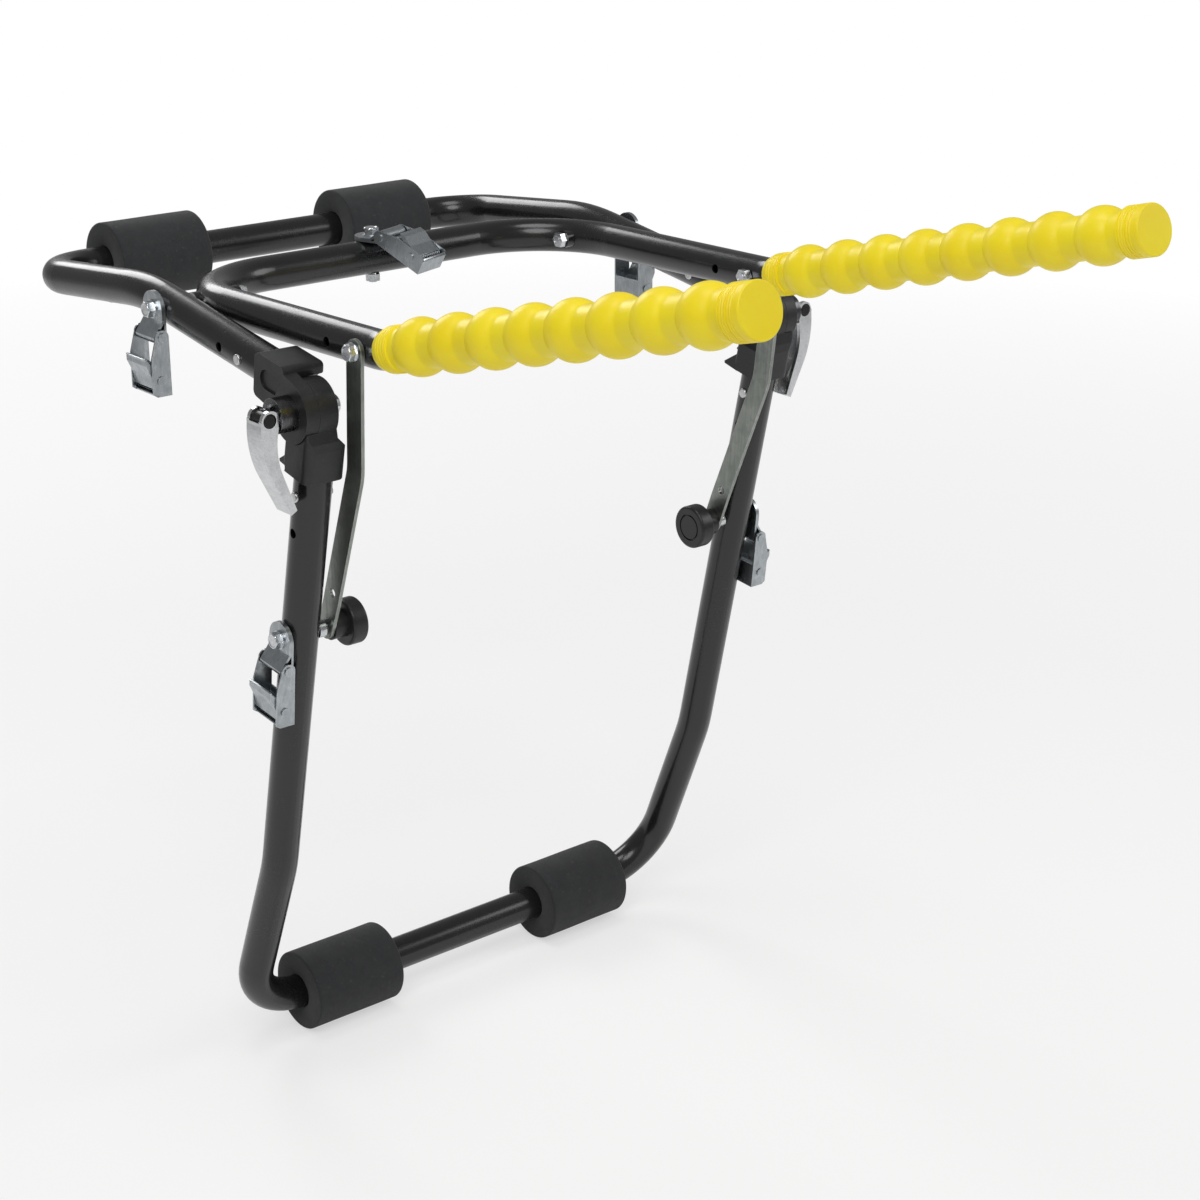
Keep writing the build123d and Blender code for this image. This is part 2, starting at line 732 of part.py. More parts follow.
with BuildPart() as bracket:
    with BuildSketch(Plane.YZ):
        Circle(loop_outer_r)
        Circle(loop_inner_r, mode=Mode.SUBTRACT)
        with Locations((0, loop_outer_r)):
            Rectangle(4 * loop_outer_r, 2 * loop_outer_r, mode=Mode.SUBTRACT)
        with BuildLine():
            Polyline(
                (-loop_outer_r, 0),
                (-loop_inner_r, 0),
                (-loop_inner_r, strip_top),
                (-loop_outer_r, strip_top),
                close=True,
            )
        make_face()
        with BuildLine():
            Polyline(
                (loop_inner_r, 0),
                (loop_outer_r, 0),
                (strip_t - loop_inner_r, pinch_height),
                (strip_t - loop_inner_r, strip_top),
                (-loop_inner_r, strip_top),
                (-loop_inner_r, pinch_height - strip_t / 2),
                close=True,
            )
        make_face()
    extrude(amount=strip_width / 2, both=True)
    with BuildSketch(Plane.XZ):
        with Locations((0, loop_drop)):
            Circle(strip_width / 2)
        with Locations((0, loop_drop / 2 - loop_outer_r)):
            Rectangle(strip_width, loop_drop + 2 * loop_outer_r)
        with Locations((0, loop_drop)):
            Circle(bolt_r + fit, mode=Mode.SUBTRACT)
    extrude(amount=4 * loop_outer_r, both=True, mode=Mode.INTERSECT)

with BuildPart() as frame:
    with BuildSketch(Plane.YZ.offset(side_inner)):
        with BuildLine():
            Polyline(
                (buckle_back, 0),
                (-buckle_back, 0),
                (side_depth + buckle_back, -0.35 * buckle_drop),
                (side_depth + buckle_back, 2 - buckle_drop),
                (side_depth + buckle_back - 3, -buckle_drop),
                (buckle_back, -buckle_drop),
                close=True,
            )
        make_face()
        Circle(loop_outer_r)
        with Locations((0, 0)):
            Circle(bar_d / 2 + fit, mode=Mode.SUBTRACT)
        with Locations(cam_pin):
            Circle(cam_pin_d / 2 + fit, mode=Mode.SUBTRACT)
    extrude(amount=side_t)
    mirror(about=Plane.YZ)
    with BuildSketch(Plane.YZ):
        with BuildLine():
            Polyline(
                (buckle_back, -window_top),
                (buckle_back + side_t, -window_top),
                (buckle_back + side_t, side_t - buckle_drop),
                (0, side_t - buckle_drop),
                (0, -buckle_drop),
                (buckle_back, -buckle_drop),
                close=True,
            )
        make_face()
    extrude(amount=side_outer, both=True)

with BuildPart() as pins:
    for at, diameter in (((0.0, 0.0), bar_d), (cam_pin, cam_pin_d)):
        rod(at, diameter / 2, -side_outer - fit, side_outer + fit)
        rod(at, diameter / 2 + 1, side_outer + fit, side_outer + 1)
        rod(at, diameter / 2 + 1, -side_outer - fit, -side_outer - 1)

with BuildPart() as cam:
    with BuildSketch(Plane.YZ) as lobe:
        with Locations(cam_pin):
            Circle(cam_body_r)
            with PolarLocations(tooth_r - 1.0, tooth_count, 170, 80):
                RegularPolygon(1.0, 3)
        with BuildLine():
            Polyline(
                (cam_pin[0] + 1, cam_pin[1] + cam_body_r - 0.5),
                (cam_pin[0] + cam_body_r, cam_pin[1]),
                (cam_pin[0] + thumb_out + thumb_t, cam_pin[1] + thumb_rise - 3),
                (cam_pin[0] + thumb_out + thumb_t, cam_pin[1] + thumb_rise),
                (cam_pin[0] + thumb_out, cam_pin[1] + thumb_rise),
                (cam_pin[0] + cam_body_r - 1, cam_pin[1] + thumb_rise / 2),
                close=True,
            )
        make_face()
        with Locations(cam_pin):
            Circle(cam_pin_d / 2 + fit, mode=Mode.SUBTRACT)
    extrude(amount=side_inner - gap, both=True)


def side_buckle_plane(bolt, lean):
    """local frame at the bar of a buckle on the right, hanging from the bolt at a lean from plumb"""
    bar_at = step(bolt, -90 + lean, loop_drop)
    up = Vector(0, -sin(radians(lean)), cos(radians(lean)))
    across = Vector(1, 0, 0).cross(up)
    return Plane((bracket_back + loop_outer_r, *bar_at), x_dir=across, z_dir=up)


centre_bolt_top = back_bar[1] + tube_r + gap
swing = radians(centre_swivel)
bracket_up = Vector(-sin(swing), cos(swing), 0)
centre_bar = Vector(0, back_bar[0], centre_bolt_top + loop_outer_r) - bracket_up * loop_drop
centre_across = Vector(0, 0, 1).cross(bracket_up)
centre_bracket_plane = Plane(centre_bar, x_dir=centre_across, z_dir=bracket_up)
droop = radians(centre_droop)
buckle_up = bracket_up * cos(droop) + Vector(0, 0, sin(droop))
centre_buckle_plane = Plane(centre_bar, x_dir=centre_across, z_dir=buckle_up)

places = {
    "lower": (side_buckle_plane(knob_pivot, lower_buckle_lean),) * 2,
    "upper": (side_buckle_plane(pivot, 0.0),) * 2,
    "centre": (centre_bracket_plane, centre_buckle_plane),
}
for spot, (bracket_plane, buckle_plane) in places.items():
    for piece, kind, plane in (
        (bracket, "bracket", bracket_plane),
        (frame, "frame", buckle_plane),
        (pins, "pins", buckle_plane),
        (cam, "cam", buckle_plane),
    ):
        with BuildPart() as placed:
            add(piece.part.moved(plane.location))
        if spot == "centre":
            write(placed, f"buckle_{kind}_centre")
        else:
            write_pair(placed, f"buckle_{kind}_{spot}")

# Bolt, washer and nut that hold the centre bracket on the back bar

with BuildPart() as centre_bolt:
    bracket_face = centre_bolt_top + 2 * strip_t
    head_from = bracket_face + washer_t + 2 * fit
    nut_from = back_bar[1] - tube_r - gap - nut_height
    with BuildSketch(Plane((0, back_bar[0], nut_from - 1))):
        Circle(bolt_r)
    extrude(amount=head_from - nut_from + 1)
    with BuildSketch(Plane((0, back_bar[0], head_from))):
        RegularPolygon(head_af / 2, 6, major_radius=False)
    extrude(amount=head_height)
    for start, length, sides in ((bracket_face + fit, washer_t, 0), (nut_from, nut_height, 6)):
        with BuildSketch(Plane((0, back_bar[0], start))):
            if sides:
                RegularPolygon(head_af / 2, sides, major_radius=False)
            else:
                Circle(washer_d / 2)
            Circle(bolt_r + fit, mode=Mode.SUBTRACT)
        extrude(amount=length)
write(centre_bolt, "centre_bracket_bolt")
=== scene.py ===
import math
import random

import bmesh
import bpy
from mathutils import Matrix, Vector


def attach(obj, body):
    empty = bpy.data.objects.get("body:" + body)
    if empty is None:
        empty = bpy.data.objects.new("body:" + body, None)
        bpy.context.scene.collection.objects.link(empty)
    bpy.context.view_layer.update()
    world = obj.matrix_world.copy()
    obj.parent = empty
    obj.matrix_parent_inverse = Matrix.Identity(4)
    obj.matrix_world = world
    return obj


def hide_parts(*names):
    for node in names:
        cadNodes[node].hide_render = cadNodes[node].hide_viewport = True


# A strap-on bike rack, dressed over its CAD frame. Metres, +Y to the car, +Z up.

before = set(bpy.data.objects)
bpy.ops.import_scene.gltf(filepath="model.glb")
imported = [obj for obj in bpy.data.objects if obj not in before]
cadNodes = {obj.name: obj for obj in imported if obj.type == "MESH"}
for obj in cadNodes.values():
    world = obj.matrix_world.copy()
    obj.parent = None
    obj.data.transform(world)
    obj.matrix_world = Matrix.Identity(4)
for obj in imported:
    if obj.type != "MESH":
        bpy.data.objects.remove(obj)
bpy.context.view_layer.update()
sides = {"left": -1, "right": 1}

# Camera, floor and lamps, set to the photograph's view.

cameraLook = {
    "at": (-0.9735, -1.3416, 0.8888),
    "right": (0.7682, -0.6401, 0.0),
    "up": (0.2225, 0.2671, 0.9376),
    "back": (-0.6002, -0.7203, 0.3476),
    "lens": 71.25,
    "sensor": 36.0,
}
studio = {
    "floorZ": -0.0305,
    "floorSize": 30.0,
    "floorColor": (0.93, 0.93, 0.93, 1),
    "floorGlow": (0.55, 1.0),
    "floorFade": (0.9, 2.6),
    "worldLight": 0.42,
    "worldGloss": 0.32,
    "lamps": [
        # name, place, aimed at, size, watts
        ("keySoft", (-1.4, -1.5, 2.3), (0, -0.1, 0.35), 1.6, 26),
        ("fillSoft", (1.9, -1.3, 1.5), (0, -0.1, 0.35), 1.3, 12),
        ("backStrip", (0.3, 2.2, 1.7), (0, 0, 0.45), 1.2, 16),
        ("topSoft", (-0.2, -0.2, 2.4), (0, -0.1, 0.45), 1.0, 9),
    ],
}


def setUpCamera():
    data = bpy.data.cameras.new("photoCamera")
    data.lens = cameraLook["lens"]
    data.sensor_width = cameraLook["sensor"]
    data.sensor_fit = "HORIZONTAL"
    data.clip_end = 60
    camera = bpy.data.objects.new("photoCamera", data)
    turn = Matrix((cameraLook["right"], cameraLook["up"], cameraLook["back"])).transposed()
    camera.matrix_world = Matrix.Translation(cameraLook["at"]) @ turn.to_4x4()
    bpy.context.scene.collection.objects.link(camera)
    bpy.context.scene.camera = camera


def setUpStudio():
    scene = bpy.context.scene
    scene.view_settings.view_transform = "Standard"
    half = studio["floorSize"] / 2
    mesh = bpy.data.meshes.new("studioFloor")
    spots = ((-half, -half), (half, -half), (half, half), (-half, half))
    corners = [(x, y, studio["floorZ"]) for x, y in spots]
    mesh.from_pydata(corners, [], [(0, 1, 2, 3)])
    floor = bpy.data.objects.new("studioFloor", mesh)
    scene.collection.objects.link(floor)

    paper = bpy.data.materials.new("palePaper")
    paper.use_nodes = True
    nodes, links = paper.node_tree.nodes, paper.node_tree.links
    shader = nodes["Principled BSDF"]
    shader.inputs["Base Color"].default_value = studio["floorColor"]
    shader.inputs["Roughness"].default_value = 0.9
    # seen by the camera the paper glows towards white with distance, and keeps the shadow near the rack
    coords = nodes.new("ShaderNodeTexCoord")
    distance = nodes.new("ShaderNodeVectorMath")
    distance.operation = "LENGTH"
    links.new(coords.outputs["Object"], distance.inputs[0])
    fade = nodes.new("ShaderNodeMapRange")
    ends = ("From Min", "From Max", "To Min", "To Max")
    for label, value in zip(ends, studio["floorFade"] + studio["floorGlow"]):
        fade.inputs[label].default_value = value
    links.new(distance.outputs["Value"], fade.inputs["Value"])
    seenBy = nodes.new("ShaderNodeLightPath")
    share = nodes.new("ShaderNodeMath")
    share.operation = "MULTIPLY"
    links.new(fade.outputs[0], share.inputs[0])
    links.new(seenBy.outputs["Is Camera Ray"], share.inputs[1])
    glow = nodes.new("ShaderNodeEmission")
    blend = nodes.new("ShaderNodeMixShader")
    links.new(share.outputs[0], blend.inputs["Fac"])
    links.new(shader.outputs[0], blend.inputs[1])
    links.new(glow.outputs[0], blend.inputs[2])
    links.new(blend.outputs[0], nodes["Material Output"].inputs["Surface"])
    mesh.materials.append(paper)

    world = bpy.data.worlds.new("studioWorld")
    scene.world = world
    world.use_nodes = True
    nodes, links = world.node_tree.nodes, world.node_tree.links
    nodes.clear()
    path = nodes.new("ShaderNodeLightPath")
    light = nodes.new("ShaderNodeBackground")
    light.inputs["Strength"].default_value = studio["worldLight"]
    gloss = nodes.new("ShaderNodeBackground")
    gloss.inputs["Strength"].default_value = studio["worldGloss"]
    seen = nodes.new("ShaderNodeBackground")
    seen.inputs["Color"].default_value = (1, 1, 1, 1)
    seen.inputs["Strength"].default_value = 1.0
    firstMix = nodes.new("ShaderNodeMixShader")
    lastMix = nodes.new("ShaderNodeMixShader")
    output = nodes.new("ShaderNodeOutputWorld")
    links.new(path.outputs["Is Glossy Ray"], firstMix.inputs["Fac"])
    links.new(light.outputs[0], firstMix.inputs[1])
    links.new(gloss.outputs[0], firstMix.inputs[2])
    links.new(path.outputs["Is Camera Ray"], lastMix.inputs["Fac"])
    links.new(firstMix.outputs[0], lastMix.inputs[1])
    links.new(seen.outputs[0], lastMix.inputs[2])
    links.new(lastMix.outputs[0], output.inputs["Surface"])

    for name, at, aim, size, watts in studio["lamps"]:
        data = bpy.data.lights.new(name, "AREA")
        data.shape = "DISK"
        data.size = size
        data.energy = watts
        lamp = bpy.data.objects.new(name, data)
        way = Vector(aim) - Vector(at)
        lamp.matrix_world = Matrix.Translation(at) @ way.to_track_quat("-Z", "Y").to_matrix().to_4x4()
        scene.collection.objects.link(lamp)


setUpCamera()
setUpStudio()
print("camera, floor and lamps are set")

# Shader groups that several finishes share.


def newGroup(name, inputs, outputs):
    group = bpy.data.node_groups.new(name, "ShaderNodeTree")
    for label, kind, value in inputs:
        socket = group.interface.new_socket(label, in_out="INPUT", socket_type=kind)
        socket.default_value = value
    for label, kind in outputs:
        group.interface.new_socket(label, in_out="OUTPUT", socket_type=kind)
    return group, group.nodes.new("NodeGroupInput"), group.nodes.new("NodeGroupOutput")


def mathNode(tree, operation, first, second=None, third=None, clamp=False):
    node = tree.nodes.new("ShaderNodeMath")
    node.operation = operation
    node.use_clamp = clamp
    for socket, value in zip(node.inputs, (first, second, third)):
        if value is None:
            continue
        if isinstance(value, (int, float)):
            socket.default_value = value
        else:
            tree.links.new(value, socket)
    return node.outputs[0]


def mapRange(tree, value, low, high, newLow, newHigh):
    node = tree.nodes.new("ShaderNodeMapRange")
    labels = ("Value", "From Min", "From Max", "To Min", "To Max")
    for label, entry in zip(labels, (value, low, high, newLow, newHigh)):
        if isinstance(entry, (int, float)):
            node.inputs[label].default_value = entry
        else:
            tree.links.new(entry, node.inputs[label])
    return node.outputs[0]


def noiseNode(tree, vector, scale, detail=3.0, rough=0.5):
    node = tree.nodes.new("ShaderNodeTexNoise")
    node.inputs["Detail"].default_value = detail
    node.inputs["Roughness"].default_value = rough
    if isinstance(scale, (int, float)):
        node.inputs["Scale"].default_value = scale
    else:
        tree.links.new(scale, node.inputs["Scale"])
    tree.links.new(vector, node.inputs["Vector"])
    return node.outputs["Fac"]


def makeHandlingGroup():
    # patchy gloss from handling and dust: a roughness and a mask that lightens the colour
    group, given, out = newGroup("handlingMarks", [
        ("Vector", "NodeSocketVector", (0, 0, 0)),
        ("Patch Scale", "NodeSocketFloat", 18.0),
        ("Smooth", "NodeSocketFloat", 0.2),
        ("Dull", "NodeSocketFloat", 0.35),
        ("Dust", "NodeSocketFloat", 0.1),
    ], [("Roughness", "NodeSocketFloat"), ("Dust Mask", "NodeSocketFloat")])
    broad = noiseNode(group, given.outputs["Vector"], given.outputs["Patch Scale"], 4.0, 0.55)
    fineScale = mathNode(group, "MULTIPLY", given.outputs["Patch Scale"], 14.0)
    fine = noiseNode(group, given.outputs["Vector"], fineScale, 2.0, 0.6)
    finePart = mathNode(group, "MULTIPLY", fine, 0.3)
    blend = mathNode(group, "ADD", mathNode(group, "MULTIPLY", broad, 0.7), finePart)
    rough = mapRange(group, blend, 0.35, 0.65, given.outputs["Smooth"], given.outputs["Dull"])
    specks = mapRange(group, fine, 0.62, 0.72, 0.0, 1.0)
    mask = mathNode(group, "MULTIPLY", mathNode(group, "MULTIPLY", specks, broad), given.outputs["Dust"])
    group.links.new(rough, out.inputs["Roughness"])
    group.links.new(mask, out.inputs["Dust Mask"])
    return group


def makeEdgeGroup():
    # a mask along sharp edges, broken up by noise, where paint or plating is rubbed, and where a painted highlight
    # stands in for the light that rounded edges would catch
    group, given, out = newGroup("edgeWearAndHighlight", [
        ("Vector", "NodeSocketVector", (0, 0, 0)),
        ("Width", "NodeSocketFloat", 0.0006),
        ("Amount", "NodeSocketFloat", 0.5),
        ("Break Scale", "NodeSocketFloat", 120.0),
    ], [("Mask", "NodeSocketFloat")])
    bevel = group.nodes.new("ShaderNodeBevel")
    bevel.samples = 4
    group.links.new(given.outputs["Width"], bevel.inputs["Radius"])
    plain = group.nodes.new("ShaderNodeNewGeometry")
    dot = group.nodes.new("ShaderNodeVectorMath")
    dot.operation = "DOT_PRODUCT"
    group.links.new(bevel.outputs["Normal"], dot.inputs[0])
    group.links.new(plain.outputs["Normal"], dot.inputs[1])
    edge = mapRange(group, dot.outputs["Value"], 0.995, 0.8, 0.0, 1.0)
    breaks = noiseNode(group, given.outputs["Vector"], given.outputs["Break Scale"], 3.0, 0.6)
    torn = mapRange(group, breaks, 0.35, 0.6, 0.2, 1.0)
    # edge lightening, partly rubbed wear and partly painted highlight
    wornAndHighlit = mathNode(group, "MULTIPLY", edge, torn)
    mask = mathNode(group, "MULTIPLY", wornAndHighlit, given.outputs["Amount"], clamp=True)
    group.links.new(mask, out.inputs["Mask"])
    return group


def makeGrainGroup():
    # fine moulded or sprayed grain as a height, in two sizes
    group, given, out = newGroup("mouldedGrain", [
        ("Vector", "NodeSocketVector", (0, 0, 0)),
        ("Grain Scale", "NodeSocketFloat", 900.0),
        ("Wave Scale", "NodeSocketFloat", 60.0),
        ("Wave Part", "NodeSocketFloat", 0.3),
    ], [("Height", "NodeSocketFloat")])
    grain = noiseNode(group, given.outputs["Vector"], given.outputs["Grain Scale"], 2.0, 0.5)
    wave = noiseNode(group, given.outputs["Vector"], given.outputs["Wave Scale"], 2.0, 0.5)
    waved = mathNode(group, "MULTIPLY", wave, given.outputs["Wave Part"])
    group.links.new(mathNode(group, "ADD", grain, waved), out.inputs["Height"])
    return group


def makePlatingGroup():
    # zinc plate: faint crystals, drawn streaks along one axis and a slightly tinted mottle
    group, given, out = newGroup("zincPlating", [
        ("Vector", "NodeSocketVector", (0, 0, 0)),
        ("Stretch", "NodeSocketVector", (1, 1, 0.08)),
        ("Streak Scale", "NodeSocketFloat", 700.0),
        ("Mottle Scale", "NodeSocketFloat", 90.0),
        ("Bright", "NodeSocketColor", (0.7, 0.73, 0.77, 1)),
        ("Dark", "NodeSocketColor", (0.45, 0.48, 0.52, 1)),
        ("Smooth", "NodeSocketFloat", 0.2),
        ("Dull", "NodeSocketFloat", 0.4),
    ], [("Color", "NodeSocketColor"), ("Roughness", "NodeSocketFloat"), ("Height", "NodeSocketFloat")])
    scaled = group.nodes.new("ShaderNodeVectorMath")
    scaled.operation = "MULTIPLY"
    group.links.new(given.outputs["Vector"], scaled.inputs[0])
    group.links.new(given.outputs["Stretch"], scaled.inputs[1])
    streak = noiseNode(group, scaled.outputs[0], given.outputs["Streak Scale"], 3.0, 0.6)
    mottle = noiseNode(group, given.outputs["Vector"], given.outputs["Mottle Scale"], 4.0, 0.6)
    crystal = group.nodes.new("ShaderNodeTexVoronoi")
    crystalScale = mathNode(group, "MULTIPLY", given.outputs["Mottle Scale"], 5.0)
    group.links.new(given.outputs["Vector"], crystal.inputs["Vector"])
    group.links.new(crystalScale, crystal.inputs["Scale"])
    mottlePart = mathNode(group, "MULTIPLY", mottle, 0.45)
    tone = mathNode(group, "ADD", mathNode(group, "MULTIPLY", streak, 0.45), mottlePart)
    shade = group.nodes.new("ShaderNodeSeparateColor")
    group.links.new(crystal.outputs["Color"], shade.inputs[0])
    tone = mathNode(group, "ADD", tone, mathNode(group, "MULTIPLY", shade.outputs[0], 0.1))
    share = mapRange(group, tone, 0.32, 0.66, 0.0, 1.0)
    mix = group.nodes.new("ShaderNodeMix")
    mix.data_type = "RGBA"
    group.links.new(share, mix.inputs[0])
    group.links.new(given.outputs["Dark"], mix.inputs[6])
    group.links.new(given.outputs["Bright"], mix.inputs[7])
    group.links.new(mix.outputs[2], out.inputs["Color"])
    rough = mapRange(group, tone, 0.32, 0.66, given.outputs["Dull"], given.outputs["Smooth"])
    group.links.new(rough, out.inputs["Roughness"])
    group.links.new(streak, out.inputs["Height"])
    return group


handlingMarks = makeHandlingGroup()
edgeWearAndHighlight = makeEdgeGroup()
mouldedGrain = makeGrainGroup()
zincPlating = makePlatingGroup()
print("shader groups are built")

# Finishes, one dictionary each.


def placeGroup(tree, group, coords, values):
    node = tree.nodes.new("ShaderNodeGroup")
    node.node_tree = group
    tree.links.new(coords, node.inputs["Vector"])
    for label, value in values.items():
        node.inputs[label].default_value = value
    return node


def startFinish(name, constants):
    material = bpy.data.materials.new(name)
    material.use_nodes = True
    tree = material.node_tree
    shader = tree.nodes["Principled BSDF"]
    for label, value in constants.items():
        shader.inputs[label].default_value = value
    coords = tree.nodes.new("ShaderNodeTexCoord").outputs["Object"]
    return material, tree, shader, coords


def mixColors(tree, share, first, second):
    mix = tree.nodes.new("ShaderNodeMix")
    mix.data_type = "RGBA"
    tree.links.new(share, mix.inputs[0])
    for socket, value in ((mix.inputs[6], first), (mix.inputs[7], second)):
        if isinstance(value, tuple):
            socket.default_value = value
        else:
            tree.links.new(value, socket)
    return mix.outputs[2]


def addBump(tree, shader, height, strength, distance):
    bump = tree.nodes.new("ShaderNodeBump")
    bump.inputs["Strength"].default_value = strength
    bump.inputs["Distance"].default_value = distance
    tree.links.new(height, bump.inputs["Height"])
    tree.links.new(bump.outputs["Normal"], shader.inputs["Normal"])


def mouldedFinish(name, look):
    # paint, nylon, hard plastic and rubber: one colour with edges lightened by wear and by painted highlight, dust,
    # uneven gloss and grain
    material, tree, shader, coords = startFinish(name, look["constants"])
    marks = placeGroup(tree, handlingMarks, coords, look["marks"])
    edges = placeGroup(tree, edgeWearAndHighlight, coords, look["edges"])
    grain = placeGroup(tree, mouldedGrain, coords, look["grain"])
    broad = mapRange(tree, noiseNode(tree, coords, look["toneScale"], 3.0, 0.5), 0.35, 0.65, 0.0, 1.0)
    color = mixColors(tree, broad, look["color"], look["otherColor"])
    # edges lightened partly by rubbed wear and partly as a painted highlight
    color = mixColors(tree, edges.outputs["Mask"], color, look["edgeWearAndHighlightColor"])
    color = mixColors(tree, marks.outputs["Dust Mask"], color, look["dustColor"])
    tree.links.new(color, shader.inputs["Base Color"])
    tree.links.new(marks.outputs["Roughness"], shader.inputs["Roughness"])
    addBump(tree, shader, grain.outputs["Height"], look["bump"], look["bumpDepth"])
    return material


def platedFinish(name, look):
    material, tree, shader, coords = startFinish(name, {"Metallic": 1.0, **look.get("constants", {})})
    plating = placeGroup(tree, zincPlating, coords, look["plating"])
    edges = placeGroup(tree, edgeWearAndHighlight, coords, look["edges"])
    # edges lightened partly by rubbed plating and partly as a painted highlight
    color = mixColors(tree, edges.outputs["Mask"], plating.outputs["Color"], look["edgeWearAndHighlightColor"])
    tree.links.new(color, shader.inputs["Base Color"])
    tree.links.new(plating.outputs["Roughness"], shader.inputs["Roughness"])
    addBump(tree, shader, plating.outputs["Height"], look["bump"], look["bumpDepth"])
    return material


framePaint = mouldedFinish("framePaint", {
    "constants": {"Coat Weight": 0.35, "Coat Roughness": 0.12, "Specular IOR Level": 0.45},
    "color": (0.0075, 0.0075, 0.0080, 1),
    "otherColor": (0.0100, 0.0100, 0.0105, 1),
    "toneScale": 9.0,
    "edgeWearAndHighlightColor": (0.030, 0.030, 0.032, 1),
    "dustColor": (0.12, 0.12, 0.12, 1),
    "marks": {"Patch Scale": 22.0, "Smooth": 0.20, "Dull": 0.30, "Dust": 0.10},
    "edges": {"Width": 0.0005, "Amount": 0.5, "Break Scale": 160.0},
    "grain": {"Grain Scale": 700.0, "Wave Scale": 160.0, "Wave Part": 1.2},
    "bump": 0.06,
    "bumpDepth": 0.0004,
})
hubNylon = mouldedFinish("hubNylon", {
    "constants": {"Specular IOR Level": 0.5},
    "color": (0.0110, 0.0115, 0.0125, 1),
    "otherColor": (0.0160, 0.0165, 0.0180, 1),
    "toneScale": 40.0,
    "edgeWearAndHighlightColor": (0.055, 0.056, 0.058, 1),
    "dustColor": (0.16, 0.16, 0.16, 1),
    "marks": {"Patch Scale": 45.0, "Smooth": 0.34, "Dull": 0.50, "Dust": 0.25},
    "edges": {"Width": 0.0008, "Amount": 0.7, "Break Scale": 220.0},
    "grain": {"Grain Scale": 1600.0, "Wave Scale": 320.0, "Wave Part": 0.5},
    "bump": 0.16,
    "bumpDepth": 0.0004,
})
knobPlastic = mouldedFinish("knobPlastic", {
    "constants": {"Specular IOR Level": 0.5},
    "color": (0.0105, 0.0105, 0.0110, 1),
    "otherColor": (0.0140, 0.0140, 0.0145, 1),
    "toneScale": 60.0,
    "edgeWearAndHighlightColor": (0.045, 0.045, 0.046, 1),
    "dustColor": (0.12, 0.12, 0.12, 1),
    "marks": {"Patch Scale": 60.0, "Smooth": 0.30, "Dull": 0.42, "Dust": 0.15},
    "edges": {"Width": 0.0006, "Amount": 0.6, "Break Scale": 260.0},
    "grain": {"Grain Scale": 1900.0, "Wave Scale": 300.0, "Wave Part": 0.3},
    "bump": 0.10,
    "bumpDepth": 0.0003,
})
gripRubber = mouldedFinish("gripRubber", {
    "constants": {"Specular IOR Level": 0.42, "Subsurface Weight": 0.08, "Subsurface Scale": 0.004},
    "color": (0.92, 0.72, 0.011, 1),
    "otherColor": (0.96, 0.78, 0.017, 1),
    "toneScale": 26.0,
    "edgeWearAndHighlightColor": (0.97, 0.82, 0.040, 1),
    "dustColor": (0.62, 0.48, 0.06, 1),
    "marks": {"Patch Scale": 30.0, "Smooth": 0.34, "Dull": 0.46, "Dust": 0.18},
    "edges": {"Width": 0.0005, "Amount": 0.4, "Break Scale": 260.0},
    "grain": {"Grain Scale": 1300.0, "Wave Scale": 90.0, "Wave Part": 0.8},
    "bump": 0.07,
    "bumpDepth": 0.0005,
})
zincBuckle = platedFinish("zincBuckle", {
    "plating": {
        "Stretch": (1, 1, 0.25), "Streak Scale": 500.0, "Mottle Scale": 45.0,
        "Bright": (0.52, 0.55, 0.57, 1), "Dark": (0.33, 0.36, 0.38, 1), "Smooth": 0.24, "Dull": 0.38,
    },
    "edges": {"Width": 0.0005, "Amount": 0.8, "Break Scale": 400.0},
    "edgeWearAndHighlightColor": (0.90, 0.92, 0.94, 1),
    "bump": 0.10,
    "bumpDepth": 0.0002,
})
zincFastener = platedFinish("zincFastener", {
    "plating": {
        "Stretch": (0.3, 1, 1), "Streak Scale": 800.0, "Mottle Scale": 160.0,
        "Bright": (0.82, 0.84, 0.86, 1), "Dark": (0.52, 0.54, 0.56, 1), "Smooth": 0.16, "Dull": 0.32,
    },
    "edges": {"Width": 0.0004, "Amount": 0.8, "Break Scale": 400.0},
    "edgeWearAndHighlightColor": (0.92, 0.93, 0.94, 1),
    "bump": 0.06,
    "bumpDepth": 0.0002,
})
strutZinc = platedFinish("strutZinc", {
    "plating": {
        "Stretch": (1, 1, 0.06), "Streak Scale": 520.0, "Mottle Scale": 34.0,
        "Bright": (0.36, 0.38, 0.35, 1), "Dark": (0.22, 0.24, 0.22, 1), "Smooth": 0.30, "Dull": 0.46,
    },
    "edges": {"Width": 0.0006, "Amount": 0.9, "Break Scale": 300.0},
    "edgeWearAndHighlightColor": (0.80, 0.81, 0.80, 1),
    "bump": 0.12,
    "bumpDepth": 0.0003,
})
leverSteel = platedFinish("leverSteel", {
    "plating": {
        "Stretch": (1, 0.15, 1), "Streak Scale": 900.0, "Mottle Scale": 70.0,
        "Bright": (0.76, 0.77, 0.78, 1), "Dark": (0.55, 0.56, 0.57, 1), "Smooth": 0.14, "Dull": 0.26,
    },
    "edges": {"Width": 0.0006, "Amount": 0.7, "Break Scale": 300.0},
    "edgeWearAndHighlightColor": (0.90, 0.90, 0.91, 1),
    "bump": 0.08,
    "bumpDepth": 0.0002,
})
cupSteel = platedFinish("cupSteel", {
    "plating": {
        "Stretch": (1, 0.2, 0.2), "Streak Scale": 900.0, "Mottle Scale": 80.0,
        "Bright": (0.15, 0.15, 0.155, 1), "Dark": (0.06, 0.06, 0.063, 1), "Smooth": 0.22, "Dull": 0.36,
    },
    "edges": {"Width": 0.0005, "Amount": 0.8, "Break Scale": 300.0},
    "edgeWearAndHighlightColor": (0.66, 0.66, 0.67, 1),
    "bump": 0.12,
    "bumpDepth": 0.0002,
})
